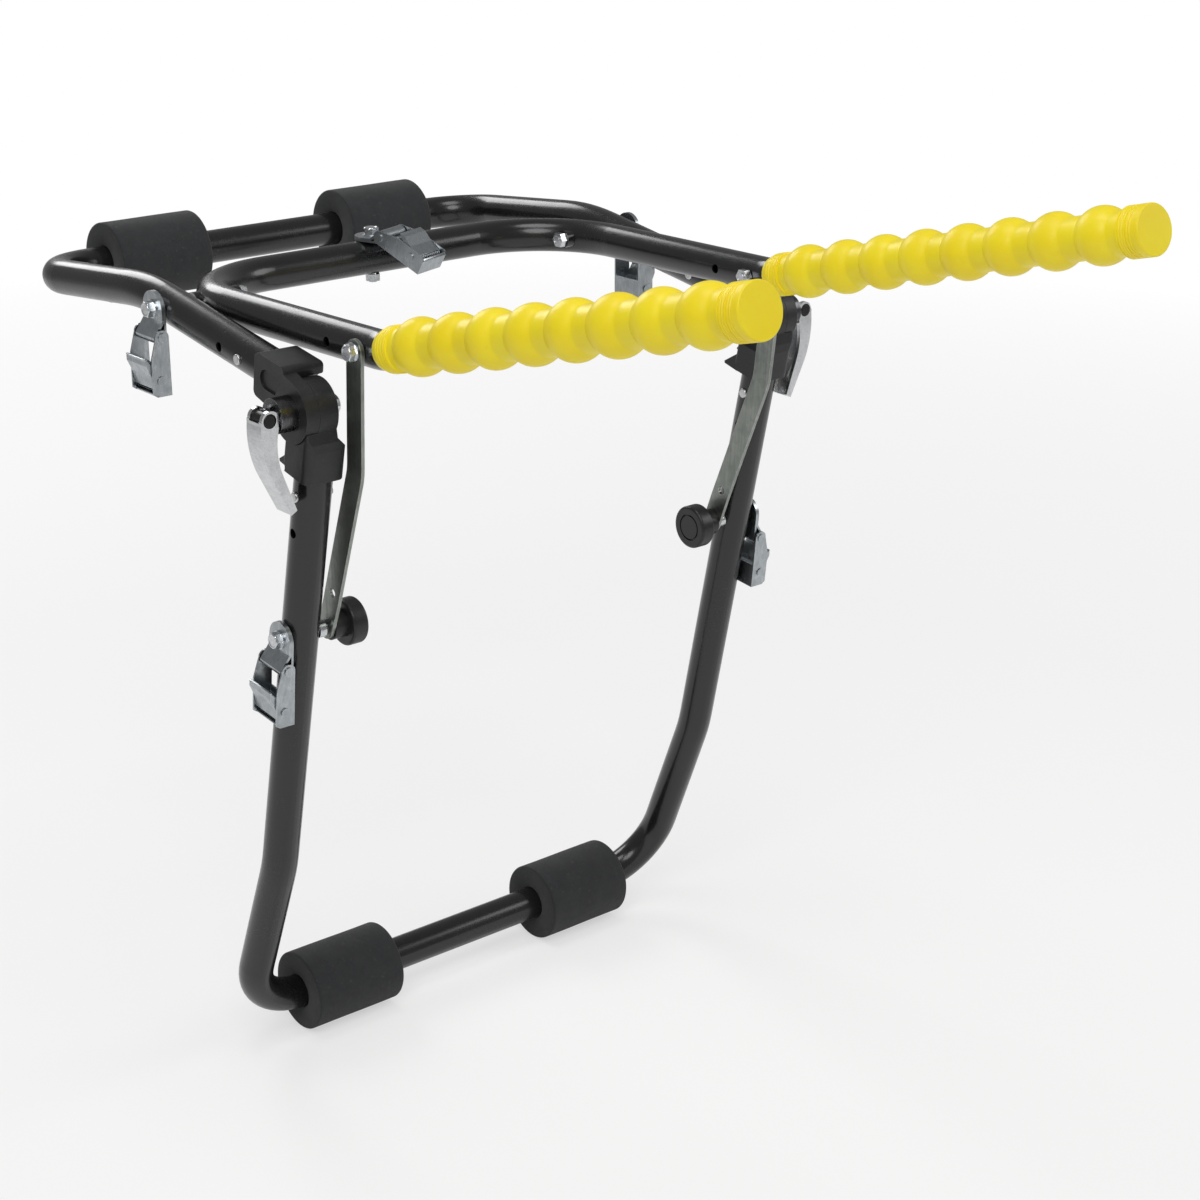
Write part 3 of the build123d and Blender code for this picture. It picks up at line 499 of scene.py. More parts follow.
blackSteel = mouldedFinish("blackSteel", {
    "constants": {"Metallic": 0.6, "Specular IOR Level": 0.5},
    "color": (0.018, 0.018, 0.019, 1),
    "otherColor": (0.028, 0.028, 0.030, 1),
    "toneScale": 90.0,
    "edgeWearAndHighlightColor": (0.20, 0.20, 0.21, 1),
    "dustColor": (0.12, 0.12, 0.12, 1),
    "marks": {"Patch Scale": 80.0, "Smooth": 0.25, "Dull": 0.40, "Dust": 0.10},
    "edges": {"Width": 0.0005, "Amount": 0.9, "Break Scale": 300.0},
    "grain": {"Grain Scale": 1500.0, "Wave Scale": 300.0, "Wave Part": 0.3},
    "bump": 0.06,
    "bumpDepth": 0.0002,
})
rivetMetal = platedFinish("rivetMetal", {
    "plating": {
        "Stretch": (1, 1, 1), "Streak Scale": 700.0, "Mottle Scale": 200.0,
        "Bright": (0.80, 0.80, 0.81, 1), "Dark": (0.56, 0.56, 0.57, 1), "Smooth": 0.22, "Dull": 0.38,
    },
    "edges": {"Width": 0.0003, "Amount": 0.6, "Break Scale": 400.0},
    "edgeWearAndHighlightColor": (0.90, 0.90, 0.90, 1),
    "bump": 0.06,
    "bumpDepth": 0.0002,
})


def foamFinish():
    # closed cell foam: cells about a millimetre across, a matte skin and a faint sheen
    skin = {"Specular IOR Level": 0.25, "Sheen Weight": 0.12, "Sheen Roughness": 0.6}
    material, tree, shader, coords = startFinish("rollerFoam", skin)
    handled = {"Patch Scale": 26.0, "Smooth": 0.82, "Dull": 0.96, "Dust": 0.5}
    marks = placeGroup(tree, handlingMarks, coords, handled)
    edges = placeGroup(tree, edgeWearAndHighlight, coords, {"Width": 0.0012, "Amount": 0.5, "Break Scale": 200.0})
    cell = tree.nodes.new("ShaderNodeTexVoronoi")
    cell.feature = "DISTANCE_TO_EDGE"
    cell.inputs["Scale"].default_value = 950.0
    tree.links.new(coords, cell.inputs["Vector"])
    wall = mapRange(tree, cell.outputs["Distance"], 0.0, 0.16, 1.0, 0.0)
    mottle = mapRange(tree, noiseNode(tree, coords, 120.0, 4.0, 0.6), 0.3, 0.7, 0.0, 1.0)
    color = mixColors(tree, mottle, (0.0170, 0.0180, 0.0195, 1), (0.0240, 0.0252, 0.0268, 1))
    color = mixColors(tree, mathNode(tree, "MULTIPLY", wall, 0.35), color, (0.040, 0.041, 0.043, 1))
    # foam edges lightened partly by rubbing and partly as a painted highlight
    color = mixColors(tree, edges.outputs["Mask"], color, (0.050, 0.051, 0.053, 1))
    color = mixColors(tree, marks.outputs["Dust Mask"], color, (0.10, 0.10, 0.10, 1))
    tree.links.new(color, shader.inputs["Base Color"])
    tree.links.new(marks.outputs["Roughness"], shader.inputs["Roughness"])
    lumps = noiseNode(tree, coords, 260.0, 3.0, 0.6)
    height = mathNode(tree, "ADD", mathNode(tree, "MULTIPLY", wall, 0.5), lumps)
    addBump(tree, shader, height, 0.35, 0.0006)
    return material


rollerFoam = foamFinish()
print("finishes are built")

# Every CAD node takes the finish of the piece it is; the foam and rubber ones are replaced further down.
finishOfNode = [
    ("lower_frame_tube", framePaint), ("upper_frame_tube", framePaint), ("carrier_frame_tube", framePaint),
    ("lower_pad", rollerFoam), ("upper_pad", rollerFoam), ("grip_", gripRubber),
    ("lower_hub", hubNylon), ("upper_hub", hubNylon),
    ("cam_cup", cupSteel), ("cam_barrel", blackSteel), ("cam_lever", leverSteel),
    ("hub_bolt", zincFastener), ("hub_nut", zincFastener),
    ("lower_rivets", rivetMetal), ("upper_rivets", rivetMetal),
    ("leg_bolt", zincFastener), ("leg_collars", zincFastener), ("carrier_pivot", zincFastener),
    ("strut_bolts", zincFastener), ("centre_bracket_bolt", zincFastener), ("knob_stud", zincFastener),
    ("strut_", strutZinc), ("knob_", knobPlastic), ("buckle_", zincBuckle),
]
for nodeName, nodeObject in cadNodes.items():
    finish = next(entry for start, entry in finishOfNode if nodeName.startswith(start))
    nodeObject.data.materials.clear()
    nodeObject.data.materials.append(finish)
print("CAD nodes are dressed:", len(cadNodes))

# Helpers for the meshes made here.


def newPiece(name, mesh, material, body, replaced=()):
    piece = bpy.data.objects.new(name, mesh)
    bpy.context.scene.collection.objects.link(piece)
    mesh.materials.clear()
    mesh.materials.append(material)
    mesh.update()
    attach(piece, body)
    if replaced:
        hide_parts(*replaced)
    return piece


def turnedMesh(name, profile, start, way, segments, creaseAngle=40.0, closed=True):
    # a profile of (along, radius) points turned round an axis from start along way
    axis = Vector(way).normalized()
    side = axis.orthogonal().normalized()
    other = axis.cross(side)
    shape = bmesh.new()
    rings = []
    for along, radius in profile:
        middle = Vector(start) + axis * along
        rings.append([
            shape.verts.new(middle + (side * math.cos(turn) + other * math.sin(turn)) * radius)
            for turn in (2 * math.pi * number / segments for number in range(segments))
        ])
    count = len(rings)
    for number in range(count if closed else count - 1):
        near, far = rings[number], rings[(number + 1) % count]
        for spot in range(segments):
            following = (spot + 1) % segments
            shape.faces.new((near[spot], near[following], far[following], far[spot]))
    bmesh.ops.recalc_face_normals(shape, faces=shape.faces)
    return finishMesh(name, shape, creaseAngle)


def finishMesh(name, shape, creaseAngle):
    for face in shape.faces:
        face.smooth = True
    limit = math.radians(creaseAngle)
    for edge in shape.edges:
        edge.smooth = not (len(edge.link_faces) == 2 and edge.calc_face_angle(0.0) > limit)
    mesh = bpy.data.meshes.new(name)
    shape.to_mesh(mesh)
    shape.free()
    return mesh


# Foam rollers, which replace the plain pads.

roller = {
    "radius": 0.0300,
    "bore": 0.01275,
    "length": 0.0750,
    "rimRound": 0.0013,
    "rimSteps": 5,
    "segments": 160,
    "bulge": 0.00025,
    "lower": {"across": 0.1104, "y": 0.0, "z": 0.0, "body": "lower_frame"},
    "upper": {"across": 0.1016, "y": 0.235495, "z": 0.509298, "body": "upper_frame"},
}


def makeRoller(name, place, sign, seed):
    half = roller["length"] / 2
    rim = roller["rimRound"]
    steps = roller["rimSteps"]
    outer = []
    for number in range(steps + 1):
        turn = math.pi / 2 * number / steps
        outer.append((-half + rim - rim * math.cos(turn), roller["radius"] - rim + rim * math.sin(turn)))
    ribs = [(-half + rim + (2 * half - 2 * rim) * number / 24, roller["radius"]) for number in range(1, 24)]
    mirrored = [(-along, radius) for along, radius in reversed(outer)]
    inner = [(half, roller["bore"] + rim / 2), (half - rim / 2, roller["bore"]), (-half + rim / 2, roller["bore"]),
             (-half, roller["bore"] + rim / 2)]
    profile = outer + ribs + mirrored + inner
    middle = Vector((sign * place["across"], place["y"], place["z"]))
    mesh = turnedMesh(name, profile, middle, (1, 0, 0), roller["segments"], 50.0)
    draw = random.Random(seed)
    phases = [draw.uniform(0, 2 * math.pi) for _ in range(4)]
    for vertex in mesh.vertices:
        arm = vertex.co - middle
        reach = math.hypot(arm.y, arm.z)
        if reach < roller["radius"] * 0.9:
            continue
        turn = math.atan2(arm.z, arm.y)
        lift = math.sin(3 * turn + phases[0] + 60 * arm.x) + math.sin(5 * turn + phases[1] - 90 * arm.x)
        lift = -roller["bulge"] * (2 + lift) / 4
        vertex.co += Vector((0, arm.y, arm.z)) / reach * lift
    piece = newPiece(name, mesh, rollerFoam, place["body"], (name.replace("Foam", "_pad_").lower(),))


for level in ("lower", "upper"):
    for sideName, sign in sides.items():
        makeRoller(f"{level}Foam{sideName}", roller[level], sign, 11 + sign + len(level + sideName))
print("foam rollers are turned")

# Grips, which replace the plain rubber sleeves.

grip = {
    "root": (0.163869, -0.162499, 0.524312),
    "way": (-0.0159703, -0.9681987, 0.2496722),
    "armLength": 0.335043,
    "start": 0.005,
    "end": 0.339043,
    "bore": 0.01255,
    "collarLength": 0.017,
    "collarRadius": 0.0150,
    "lipLength": 0.007,
    "lipRadius": 0.0128,
    "endCollar": 0.017,
    "endRadius": 0.0160,
    "neckRadius": 0.01385,
    "ballRadius": 0.0183,
    "firstBall": 0.0409,
    "pitch": 0.0371,
    "balls": 8,
    "blend": 0.0016,
    "rings": 6,
    "ringDepth": 0.0007,
    "rimRound": 0.0016,
    "stepLength": 0.00035,
    "boreStep": 0.01,
    "segments": 96,
}


def makeGripTree():
    # a sleeve whose radius follows a rule along its length: ringed collar, row of balls, ringed end
    tree = bpy.data.node_groups.new("ballGrip", "GeometryNodeTree")
    entries = [
        ("Arm Length", grip["armLength"] - grip["start"]), ("Sleeve Length", grip["end"] - grip["start"]),
        ("Bore Radius", grip["bore"]),
        ("Collar Length", grip["collarLength"]), ("Collar Radius", grip["collarRadius"]),
        ("Lip Length", grip["lipLength"]), ("Lip Radius", grip["lipRadius"]),
        ("End Length", grip["endCollar"]), ("End Radius", grip["endRadius"]),
        ("Neck Radius", grip["neckRadius"]), ("Ball Radius", grip["ballRadius"]),
        ("First Ball", grip["firstBall"] - grip["start"]), ("Ball Pitch", grip["pitch"]),
        ("Ball Count", float(grip["balls"])), ("Neck Blend", grip["blend"]),
        ("Ring Count", float(grip["rings"])), ("Ring Depth", grip["ringDepth"]),
        ("Rim Round", grip["rimRound"]), ("Step Length", grip["stepLength"]),
        ("Bore Step", grip["boreStep"]),
    ]
    for label, value in entries:
        socket = tree.interface.new_socket(label, in_out="INPUT", socket_type="NodeSocketFloat")
        socket.default_value = value
    segmentSocket = tree.interface.new_socket("Segments", in_out="INPUT", socket_type="NodeSocketInt")
    segmentSocket.default_value = grip["segments"]
    materialSocket = tree.interface.new_socket("Material", in_out="INPUT", socket_type="NodeSocketMaterial")
    tree.interface.new_socket("Geometry", in_out="OUTPUT", socket_type="NodeSocketGeometry")
    given = tree.nodes.new("NodeGroupInput")
    out = tree.nodes.new("NodeGroupOutput")
    link = tree.links.new

    def at(label):
        return given.outputs[label]

    def calc(operation, first, second=None, third=None):
        return mathNode(tree, operation, first, second, third)

    def vectorOfX(value):
        node = tree.nodes.new("ShaderNodeCombineXYZ")
        link(value, node.inputs["X"])
        return node.outputs[0]

    def straight(length, stepLength):
        line = tree.nodes.new("GeometryNodeCurvePrimitiveLine")
        link(vectorOfX(length), line.inputs["End"])
        again = tree.nodes.new("GeometryNodeResampleCurve")
        again.mode = "LENGTH"
        link(line.outputs[0], again.inputs["Curve"])
        link(stepLength, again.inputs["Length"])
        return again.outputs[0]

    ringShape = tree.nodes.new("GeometryNodeCurvePrimitiveCircle")
    ringShape.inputs["Radius"].default_value = 1.0
    link(at("Segments"), ringShape.inputs["Resolution"])

    def turned(curve, radius):
        withRadius = tree.nodes.new("GeometryNodeSetCurveRadius")
        link(curve, withRadius.inputs["Curve"])
        link(radius, withRadius.inputs["Radius"])
        mesh = tree.nodes.new("GeometryNodeCurveToMesh")
        link(withRadius.outputs[0], mesh.inputs["Curve"])
        link(ringShape.outputs[0], mesh.inputs["Profile Curve"])
        if "Scale" in mesh.inputs:
            spread = tree.nodes.new("GeometryNodeInputRadius")
            link(spread.outputs[0], mesh.inputs["Scale"])
        return mesh.outputs[0]

    place = tree.nodes.new("GeometryNodeInputPosition")
    split = tree.nodes.new("ShaderNodeSeparateXYZ")
    link(place.outputs[0], split.inputs[0])
    along = split.outputs["X"]

    number = calc("ROUND", calc("DIVIDE", calc("SUBTRACT", along, at("First Ball")), at("Ball Pitch")))
    number = calc("MAXIMUM", calc("MINIMUM", number, calc("SUBTRACT", at("Ball Count"), 1.0)), 0.0)
    away = calc("SUBTRACT", along, calc("MULTIPLY_ADD", number, at("Ball Pitch"), at("First Ball")))
    ballSquare = calc("MULTIPLY", at("Ball Radius"), at("Ball Radius"))
    under = calc("SUBTRACT", ballSquare, calc("MULTIPLY", away, away))
    ball = calc("SQRT", calc("MAXIMUM", under, 0.0))
    body = calc("SMOOTH_MAX", ball, at("Neck Radius"), at("Neck Blend"))

    def grooves(distance, length):
        # V shaped rings, ring count of them along the length
        turn = calc("MULTIPLY", calc("DIVIDE", distance, length), at("Ring Count"))
        wave = calc("ABSOLUTE", calc("SUBTRACT", calc("FRACT", turn), 0.5))
        dip = calc("MAXIMUM", calc("SUBTRACT", 1.0, calc("MULTIPLY", wave, 5.0)), 0.0)
        return calc("MULTIPLY", calc("MINIMUM", calc("MULTIPLY", dip, 1.4), 1.0), at("Ring Depth"))

    collar = calc("SUBTRACT", at("Collar Radius"), grooves(along, at("Collar Length")))
    rise = calc("DIVIDE", calc("SUBTRACT", at("Collar Radius"), at("Lip Radius")), at("Lip Length"))
    collar = calc("MINIMUM", collar, calc("MULTIPLY_ADD", along, rise, at("Lip Radius")))
    isCollar = calc("LESS_THAN", along, at("Collar Length"))
    fromEnd = calc("SUBTRACT", at("Sleeve Length"), along)
    ringed = calc("SUBTRACT", at("End Length"), calc("MULTIPLY", at("End Length"), 0.3))
    endDistance = calc("SUBTRACT", along, calc("SUBTRACT", at("Sleeve Length"), at("End Length")))
    isRinged = calc("LESS_THAN", endDistance, ringed)
    endCollar = calc("SUBTRACT", at("End Radius"), calc("MULTIPLY", grooves(endDistance, ringed), isRinged))
    isEnd = calc("LESS_THAN", fromEnd, at("End Length"))
    short = calc("MAXIMUM", calc("SUBTRACT", at("Rim Round"), fromEnd), 0.0)
    rimSquare = calc("MULTIPLY", at("Rim Round"), at("Rim Round"))
    rim = calc("SQRT", calc("MAXIMUM", calc("SUBTRACT", rimSquare, calc("MULTIPLY", short, short)), 0.0))
    rimCut = calc("SUBTRACT", at("Rim Round"), rim)
    endCollar = calc("SUBTRACT", endCollar, rimCut)

    def choose(gate, yes, no):
        return calc("ADD", calc("MULTIPLY", gate, yes), calc("MULTIPLY", calc("SUBTRACT", 1.0, gate), no))

    radius = choose(isEnd, endCollar, choose(isCollar, collar, body))
    half = calc("MULTIPLY", at("Step Length"), 0.5)
    radius = choose(calc("LESS_THAN", along, half), at("Bore Radius"), radius)
    radius = choose(calc("LESS_THAN", fromEnd, half), calc("MULTIPLY", half, 0.001), radius)
    outside = turned(straight(at("Sleeve Length"), at("Step Length")), radius)

    boreEnd = calc("LESS_THAN", calc("SUBTRACT", at("Arm Length"), along), half)
    boreRadius = choose(boreEnd, calc("MULTIPLY", half, 0.001), at("Bore Radius"))
    inside = turned(straight(at("Arm Length"), at("Bore Step")), boreRadius)
    flip = tree.nodes.new("GeometryNodeFlipFaces")
    link(inside, flip.inputs[0])

    join = tree.nodes.new("GeometryNodeJoinGeometry")
    link(outside, join.inputs[0])
    link(flip.outputs[0], join.inputs[0])
    merge = tree.nodes.new("GeometryNodeMergeByDistance")
    merge.inputs["Distance"].default_value = 0.00002
    link(join.outputs[0], merge.inputs["Geometry"])
    real = tree.nodes.new("GeometryNodeRealizeInstances")
    link(merge.outputs[0], real.inputs[0])
    paint = tree.nodes.new("GeometryNodeSetMaterial")
    link(real.outputs[0], paint.inputs["Geometry"])
    link(at("Material"), paint.inputs["Material"])
    link(paint.outputs[0], out.inputs["Geometry"])
    return tree


def meshFromTree(tree, name, settings, seed=None):
    # runs a tree on a mesh, with inputs set by their identifiers, and keeps the plain result
    holder = bpy.data.objects.new(name + "Maker", seed or bpy.data.meshes.new(name + "Seed"))
    bpy.context.scene.collection.objects.link(holder)
    modifier = holder.modifiers.new("maker", "NODES")
    modifier.node_group = tree
    for item in tree.interface.items_tree:
        if item.in_out == "INPUT" and item.name in settings:
            modifier[item.identifier] = settings[item.name]
    holder.update_tag()
    bpy.context.view_layer.update()
    ready = holder.evaluated_get(bpy.context.evaluated_depsgraph_get())
    mesh = bpy.data.meshes.new_from_object(ready)
    mesh.name = name
    holder.modifiers.clear()
    bpy.data.objects.remove(holder)
    return mesh


def layMesh(mesh, origin, xWay, yHint):
    # moves a mesh from its own axes to the row frame, X along xWay
    xAxis = Vector(xWay).normalized()
    zAxis = xAxis.cross(Vector(yHint)).normalized()
    yAxis = zAxis.cross(xAxis)
    turn = Matrix((xAxis, yAxis, zAxis)).transposed().to_4x4()
    mesh.transform(Matrix.Translation(origin) @ turn)


def smoothMesh(mesh, creaseAngle, facesOut=False):
    shape = bmesh.new()
    shape.from_mesh(mesh)
    if facesOut:
        bmesh.ops.recalc_face_normals(shape, faces=shape.faces)
    for face in shape.faces:
        face.smooth = True
    limit = math.radians(creaseAngle)
    for edge in shape.edges:
        edge.smooth = not (len(edge.link_faces) == 2 and edge.calc_face_angle(0.0) > limit)
    shape.to_mesh(mesh)
    shape.free()


gripTree = makeGripTree()
for sideName, sign in sides.items():
    mesh = meshFromTree(gripTree, f"gripSleeve{sideName}", {"Material": gripRubber})
    origin = Vector((sign * grip["root"][0], grip["root"][1], grip["root"][2]))
    way = Vector((sign * grip["way"][0], grip["way"][1], grip["way"][2]))
    layMesh(mesh, origin + way.normalized() * grip["start"], way, (0, 0, 1))
    smoothMesh(mesh, 38.0, facesOut=True)
    newPiece(f"gripSleeve{sideName}", mesh, gripRubber, "carrier", (f"grip_{sideName}",))
    print("grip", sideName, len(mesh.polygons), "faces")

# Strap buckles: toothed cam plates and bottom lips.

buckle = {
    "places": {
        # origin at the bar of the right-hand or centre buckle, then its across, out and up directions
        "lower": ((0.2113, -0.095754, 0.308561), (0, -0.994522, -0.104528), (1, 0, 0), (0, -0.104528, 0.994522)),
        "upper": ((0.2113, 0.041966, 0.503493), (0, -1, 0), (1, 0, 0), (0, 0, 1)),
        "centre": ((0.005814, 0.071983, 0.537434), (-0.939693, -0.342020, 0), (0.160568, -0.441155, 0.882948),
                   (-0.301988, 0.829706, 0.469472)),
    },
    "plateHalf": 0.0129,
    "plateThick": 0.0014,
    "platePath": [(0.01235, -0.01330), (0.01190, -0.01480), (0.01060, -0.01800), (0.00930, -0.02200),
                  (0.00835, -0.02600), (0.00760, -0.03000), (0.00650, -0.03440)],
    "toothCount": 11,
    "toothPitch": 0.00220,
    "toothLength": 0.0019,
    "toothWidth": 0.0018,
    "cheekThick": 0.0011,
    "cheek": [(0.00880, -0.02150), (0.00200, -0.02480), (-0.00150, -0.02650), (-0.00180, -0.03050), (0.00080, -0.03380),
              (0.00600, -0.03420), (0.00700, -0.03000)],
    "lipHalf": 0.0144,
    "lipThick": 0.0012,
    "lipPath": [(-0.00100, -0.03940), (0.00460, -0.03940), (0.00600, -0.03905), (0.00670, -0.03800)],
    "bevel": 0.00018,
}


def extrudeOutline(name, outline, low, high, bevel, creaseAngle=35.0):
    # a solid from an outline of (y, z) points, stretched along X from low to high, with its edges broken
    shape = bmesh.new()
    near = [shape.verts.new((low, y, z)) for y, z in outline]
    far = [shape.verts.new((high, y, z)) for y, z in outline]
    count = len(outline)
    shape.faces.new(near)
    shape.faces.new(list(reversed(far)))
    for number in range(count):
        following = (number + 1) % count
        shape.faces.new((near[following], near[number], far[number], far[following]))
    bmesh.ops.recalc_face_normals(shape, faces=shape.faces)
    if bevel:
        sharp = [edge for edge in shape.edges if edge.calc_face_angle(0.0) > math.radians(30)]
        bmesh.ops.bevel(shape, geom=sharp, offset=bevel, segments=2, affect="EDGES", profile=0.5)
    return finishMesh(name, shape, creaseAngle)


def stripOutline(path, thick, perBend=4):
    # the closed outline of a bent strip around a smoothed path
    points = [Vector(point) for point in path]
    smooth = []
    for number in range(len(points) - 1):
        before = points[max(number - 1, 0)]
        first, second = points[number], points[number + 1]
        after = points[min(number + 2, len(points) - 1)]
        for part in range(perBend):
            t = part / perBend
            smooth.append(0.5 * (2 * first + (second - before) * t + (2 * before - 5 * first + 4 * second - after) * t * t
                                 + (3 * first - before - 3 * second + after) * t ** 3))
    smooth.append(points[-1])
    sides = []
    for number, point in enumerate(smooth):
        way = (smooth[min(number + 1, len(smooth) - 1)] - smooth[max(number - 1, 0)]).normalized()
        sides.append(Vector((-way.y, way.x)) * thick / 2)
    return [tuple(p + n) for p, n in zip(smooth, sides)] + [tuple(p - n) for p, n in reversed(list(zip(smooth, sides)))]


def makeToothTree():
    # adds a row of pyramid teeth along the lower edge of a plate
    tree = bpy.data.node_groups.new("toothRow", "GeometryNodeTree")
    tree.interface.new_socket("Plate", in_out="INPUT", socket_type="NodeSocketGeometry")
    for label, kind, value in (
        ("Tooth Count", "NodeSocketInt", buckle["toothCount"]),
        ("Tooth Pitch", "NodeSocketFloat", buckle["toothPitch"]),
        ("Tooth Length", "NodeSocketFloat", buckle["toothLength"]),
        ("Tooth Width", "NodeSocketFloat", buckle["toothWidth"]),
        ("Row Start", "NodeSocketVector", (0, 0, 0)), ("Tooth Tilt", "NodeSocketVector", (0, 0, 0)),
    ):
        socket = tree.interface.new_socket(label, in_out="INPUT", socket_type=kind)
        socket.default_value = value
    tree.interface.new_socket("Material", in_out="INPUT", socket_type="NodeSocketMaterial")
    tree.interface.new_socket("Geometry", in_out="OUTPUT", socket_type="NodeSocketGeometry")
    given = tree.nodes.new("NodeGroupInput")
    out = tree.nodes.new("NodeGroupOutput")
    link = tree.links.new
    line = tree.nodes.new("GeometryNodeMeshLine")
    stepOver = tree.nodes.new("ShaderNodeCombineXYZ")
    link(given.outputs["Tooth Pitch"], stepOver.inputs["X"])
    link(given.outputs["Tooth Count"], line.inputs["Count"])
    link(given.outputs["Row Start"], line.inputs["Start Location"])
    link(stepOver.outputs[0], line.inputs["Offset"])
    cone = tree.nodes.new("GeometryNodeMeshCone")
    cone.inputs["Vertices"].default_value = 4
    link(mathNode(tree, "MULTIPLY", given.outputs["Tooth Width"], 0.7071), cone.inputs["Radius Bottom"])
    link(given.outputs["Tooth Length"], cone.inputs["Depth"])
    square = tree.nodes.new("GeometryNodeTransform")
    square.inputs["Rotation"].default_value = (0, 0, math.pi / 4)
    link(cone.outputs["Mesh"], square.inputs["Geometry"])
    place = tree.nodes.new("GeometryNodeInstanceOnPoints")
    link(line.outputs[0], place.inputs["Points"])
    link(square.outputs[0], place.inputs["Instance"])
    link(given.outputs["Tooth Tilt"], place.inputs["Rotation"])
    join = tree.nodes.new("GeometryNodeJoinGeometry")
    link(given.outputs["Plate"], join.inputs[0])
    link(place.outputs[0], join.inputs[0])
    real = tree.nodes.new("GeometryNodeRealizeInstances")
    link(join.outputs[0], real.inputs[0])
    paint = tree.nodes.new("GeometryNodeSetMaterial")
    link(real.outputs[0], paint.inputs["Geometry"])
    link(given.outputs["Material"], paint.inputs["Material"])
    link(paint.outputs[0], out.inputs["Geometry"])
    return tree


def joinMeshes(name, meshes):
    shape = bmesh.new()
    for mesh in meshes:
        shape.from_mesh(mesh)
        bpy.data.meshes.remove(mesh)
    joined = bpy.data.meshes.new(name)
    shape.to_mesh(joined)
    shape.free()
    return joined


def buckleToFrame(mesh, spot, sign):
    origin, across, out, up = (Vector(entry) for entry in buckle["places"][spot])
    turn = Matrix((across, out, up)).transposed().to_4x4()
    mesh.transform(Matrix.Translation(origin) @ turn)
    if sign < 0:
        mesh.transform(Matrix.Diagonal((-1, 1, 1, 1)))
        mesh.flip_normals()


toothTree = makeToothTree()
plateOutline = stripOutline(buckle["platePath"], buckle["plateThick"])
lipOutline = stripOutline(buckle["lipPath"], buckle["lipThick"])
buckleSpots = [(f"{spot}_{sideName}", spot, sign) for spot in ("lower", "upper") for sideName, sign in sides.items()]
for label, spot, sign in buckleSpots + [("centre", "centre", 1)]:
    half, cheekThick, bevel = buckle["plateHalf"], buckle["cheekThick"], buckle["bevel"]
    solids = [
        extrudeOutline("plate", plateOutline, -half, half, bevel),
        extrudeOutline("cheek", buckle["cheek"], -half, -half + cheekThick, bevel),
        extrudeOutline("cheek", buckle["cheek"], half - cheekThick, half, bevel),
    ]
    plate = joinMeshes("plate", solids)
    low = Vector(buckle["platePath"][-1])
    way = (low - Vector(buckle["platePath"][-2])).normalized()
    tip = low + way * buckle["toothLength"] * 0.4
    mesh = meshFromTree(toothTree, f"camPlate_{label}", {
        "Row Start": (-buckle["toothPitch"] * (buckle["toothCount"] - 1) / 2, tip.x, tip.y),
        "Tooth Tilt": (math.atan2(way.x, -way.y) + math.pi, 0.0, 0.0),
        "Material": zincBuckle,
    }, plate)
    buckleToFrame(mesh, spot, sign)
    smoothMesh(mesh, 30.0)
    newPiece(f"camPlate_{label}", mesh, zincBuckle, f"buckle_cam_{label}")
    mesh = extrudeOutline(f"bottomLip_{label}", lipOutline, -buckle["lipHalf"], buckle["lipHalf"], bevel)
    buckleToFrame(mesh, spot, sign)
    newPiece(f"bottomLip_{label}", mesh, zincBuckle, f"buckle_{label}")
print("buckles have their toothed plates")

# Bolt head crowns and threads.

fastener = {
    "acrossFlats": 0.0100,
    "crownRise": 0.0007,
    "dish": 0.0003,
    "threadPitch": 0.00105,
    "threadDepth": 0.00045,
    "threadSteps": 28,
    # name, body, place, outward direction of a bolt head on the right or middle
    "heads": [
        ("legBolt", "lower_frame", (0.2144, -0.097531, 0.325467), (1, 0, 0), True),
        ("pivotBolt", "upper_frame", (0.2144, 0.041966, 0.520493), (1, 0, 0), True),
        ("strutBolt", "carrier", (0.184742, -0.152001, 0.524116), (1, 0, 0), True),
        ("centreBolt", "carrier", (0, 0.087958, 0.540534), (0, 0, 1), False),
    ],
    # name, body, start, direction, core radius, length
    "threads": [
        ("hubThread", "hub_clamp_", (0.17546, -0.123531, 0.484494), (-1, 0, 0), 0.0039, 0.0013),
        ("pivotThread", "upper_frame", (0.13763, 0.041966, 0.520493), (-1, 0, 0), 0.0029, 0.0009),
        ("strutThread", "carrier", (0.14592, -0.152001, 0.524116), (-1, 0, 0), 0.0029, 0.0009),
    ],
}


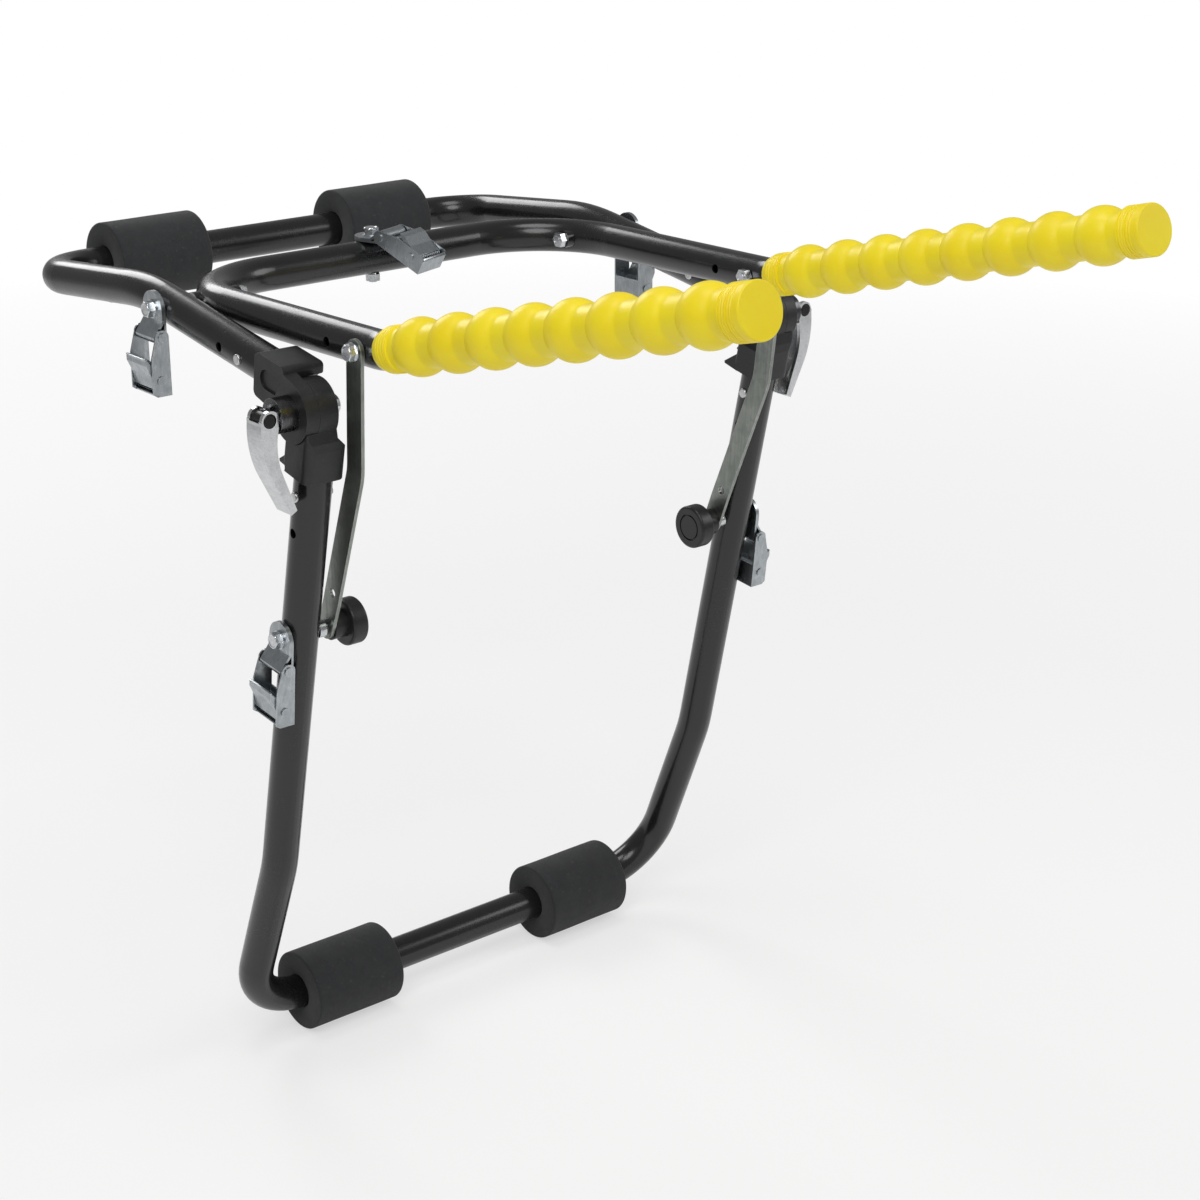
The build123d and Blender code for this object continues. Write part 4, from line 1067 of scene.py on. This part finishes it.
def crownMesh(name, place, way):
    # the chamfered and slightly dished top of a forged hexagon head
    flat = fastener["acrossFlats"] / 2
    corner = flat / math.cos(math.pi / 6)
    steps = 48
    outward = Vector(way)
    side = Vector((0, 1, 0)) if abs(outward.x) > 0.5 else Vector((1, 0, 0))
    other = outward.cross(side)
    shape = bmesh.new()

    def ring(radiusAt, rise):
        points = []
        for number in range(steps):
            turn = 2 * math.pi * number / steps
            radius = radiusAt(turn)
            middle = Vector(place) + outward * rise
            points.append(shape.verts.new(middle + (side * math.cos(turn) + other * math.sin(turn)) * radius))
        return points

    def hexagon(turn):
        nearest = (turn + math.pi / 6) % (math.pi / 3) - math.pi / 6
        if abs(outward.x) > 0.5:
            nearest = turn % (math.pi / 3) - math.pi / 6
        return min(flat / math.cos(nearest), corner)

    rise = fastener["crownRise"]
    rings = [
        ring(lambda turn: hexagon(turn) * 0.999, -0.0006), ring(hexagon, 0.0),
        ring(lambda turn: min(hexagon(turn), flat * 1.03), rise * 0.45), ring(lambda turn: flat * 0.95, rise),
        ring(lambda turn: flat * 0.80, rise), ring(lambda turn: flat * 0.70, rise - fastener["dish"]),
    ]
    for near, far in zip(rings, rings[1:]):
        for spot in range(steps):
            following = (spot + 1) % steps
            shape.faces.new((near[spot], near[following], far[following], far[spot]))
    shape.faces.new(rings[-1])
    shape.faces.new(list(reversed(rings[0])))
    bmesh.ops.recalc_face_normals(shape, faces=shape.faces)
    return finishMesh(name, shape, 22.0)


def threadMesh(name, start, way, radius, length):
    # a V shaped ridge wound round a bolt's tail, with both ends closed
    axis = Vector(way)
    side = axis.orthogonal().normalized()
    other = axis.cross(side)
    pitch, depth, steps = fastener["threadPitch"], fastener["threadDepth"], fastener["threadSteps"]
    total = max(int(steps * length / pitch), 6)
    shape = bmesh.new()
    slices = []
    for number in range(total + 1):
        turn = 2 * math.pi * number / steps
        outwards = side * math.cos(turn) + other * math.sin(turn)
        along = pitch * number / steps
        fade = min(1.0, number / 6, (total - number) / 6)
        slices.append([shape.verts.new(Vector(start) + axis * (along + shift) + outwards * (radius + rise))
                       for shift, rise in ((-pitch * 0.4, -0.0002), (0.0, depth * fade), (pitch * 0.4, -0.0002))])
    for near, far in zip(slices, slices[1:]):
        for spot in range(3):
            following = (spot + 1) % 3
            shape.faces.new((near[spot], near[following], far[following], far[spot]))
    shape.faces.new(slices[0])
    shape.faces.new(list(reversed(slices[-1])))
    bmesh.ops.recalc_face_normals(shape, faces=shape.faces)
    return finishMesh(name, shape, 20.0)


def onSide(point, sign):
    return (point[0] * sign, point[1], point[2])


for label, body, place, way, paired in fastener["heads"]:
    for sideName, sign in (sides.items() if paired else [("middle", 1)]):
        mesh = crownMesh(f"{label}Crown_{sideName}", onSide(place, sign), onSide(way, sign))
        newPiece(f"{label}Crown_{sideName}", mesh, zincFastener, body)
for label, body, start, way, radius, length in fastener["threads"]:
    for sideName, sign in sides.items():
        mesh = threadMesh(f"{label}_{sideName}", onSide(start, sign), onSide(way, sign), radius, length)
        rider = body + sideName if body.endswith("_") else body
        newPiece(f"{label}_{sideName}", mesh, zincFastener, rider)
print("bolt heads and threads are dressed")
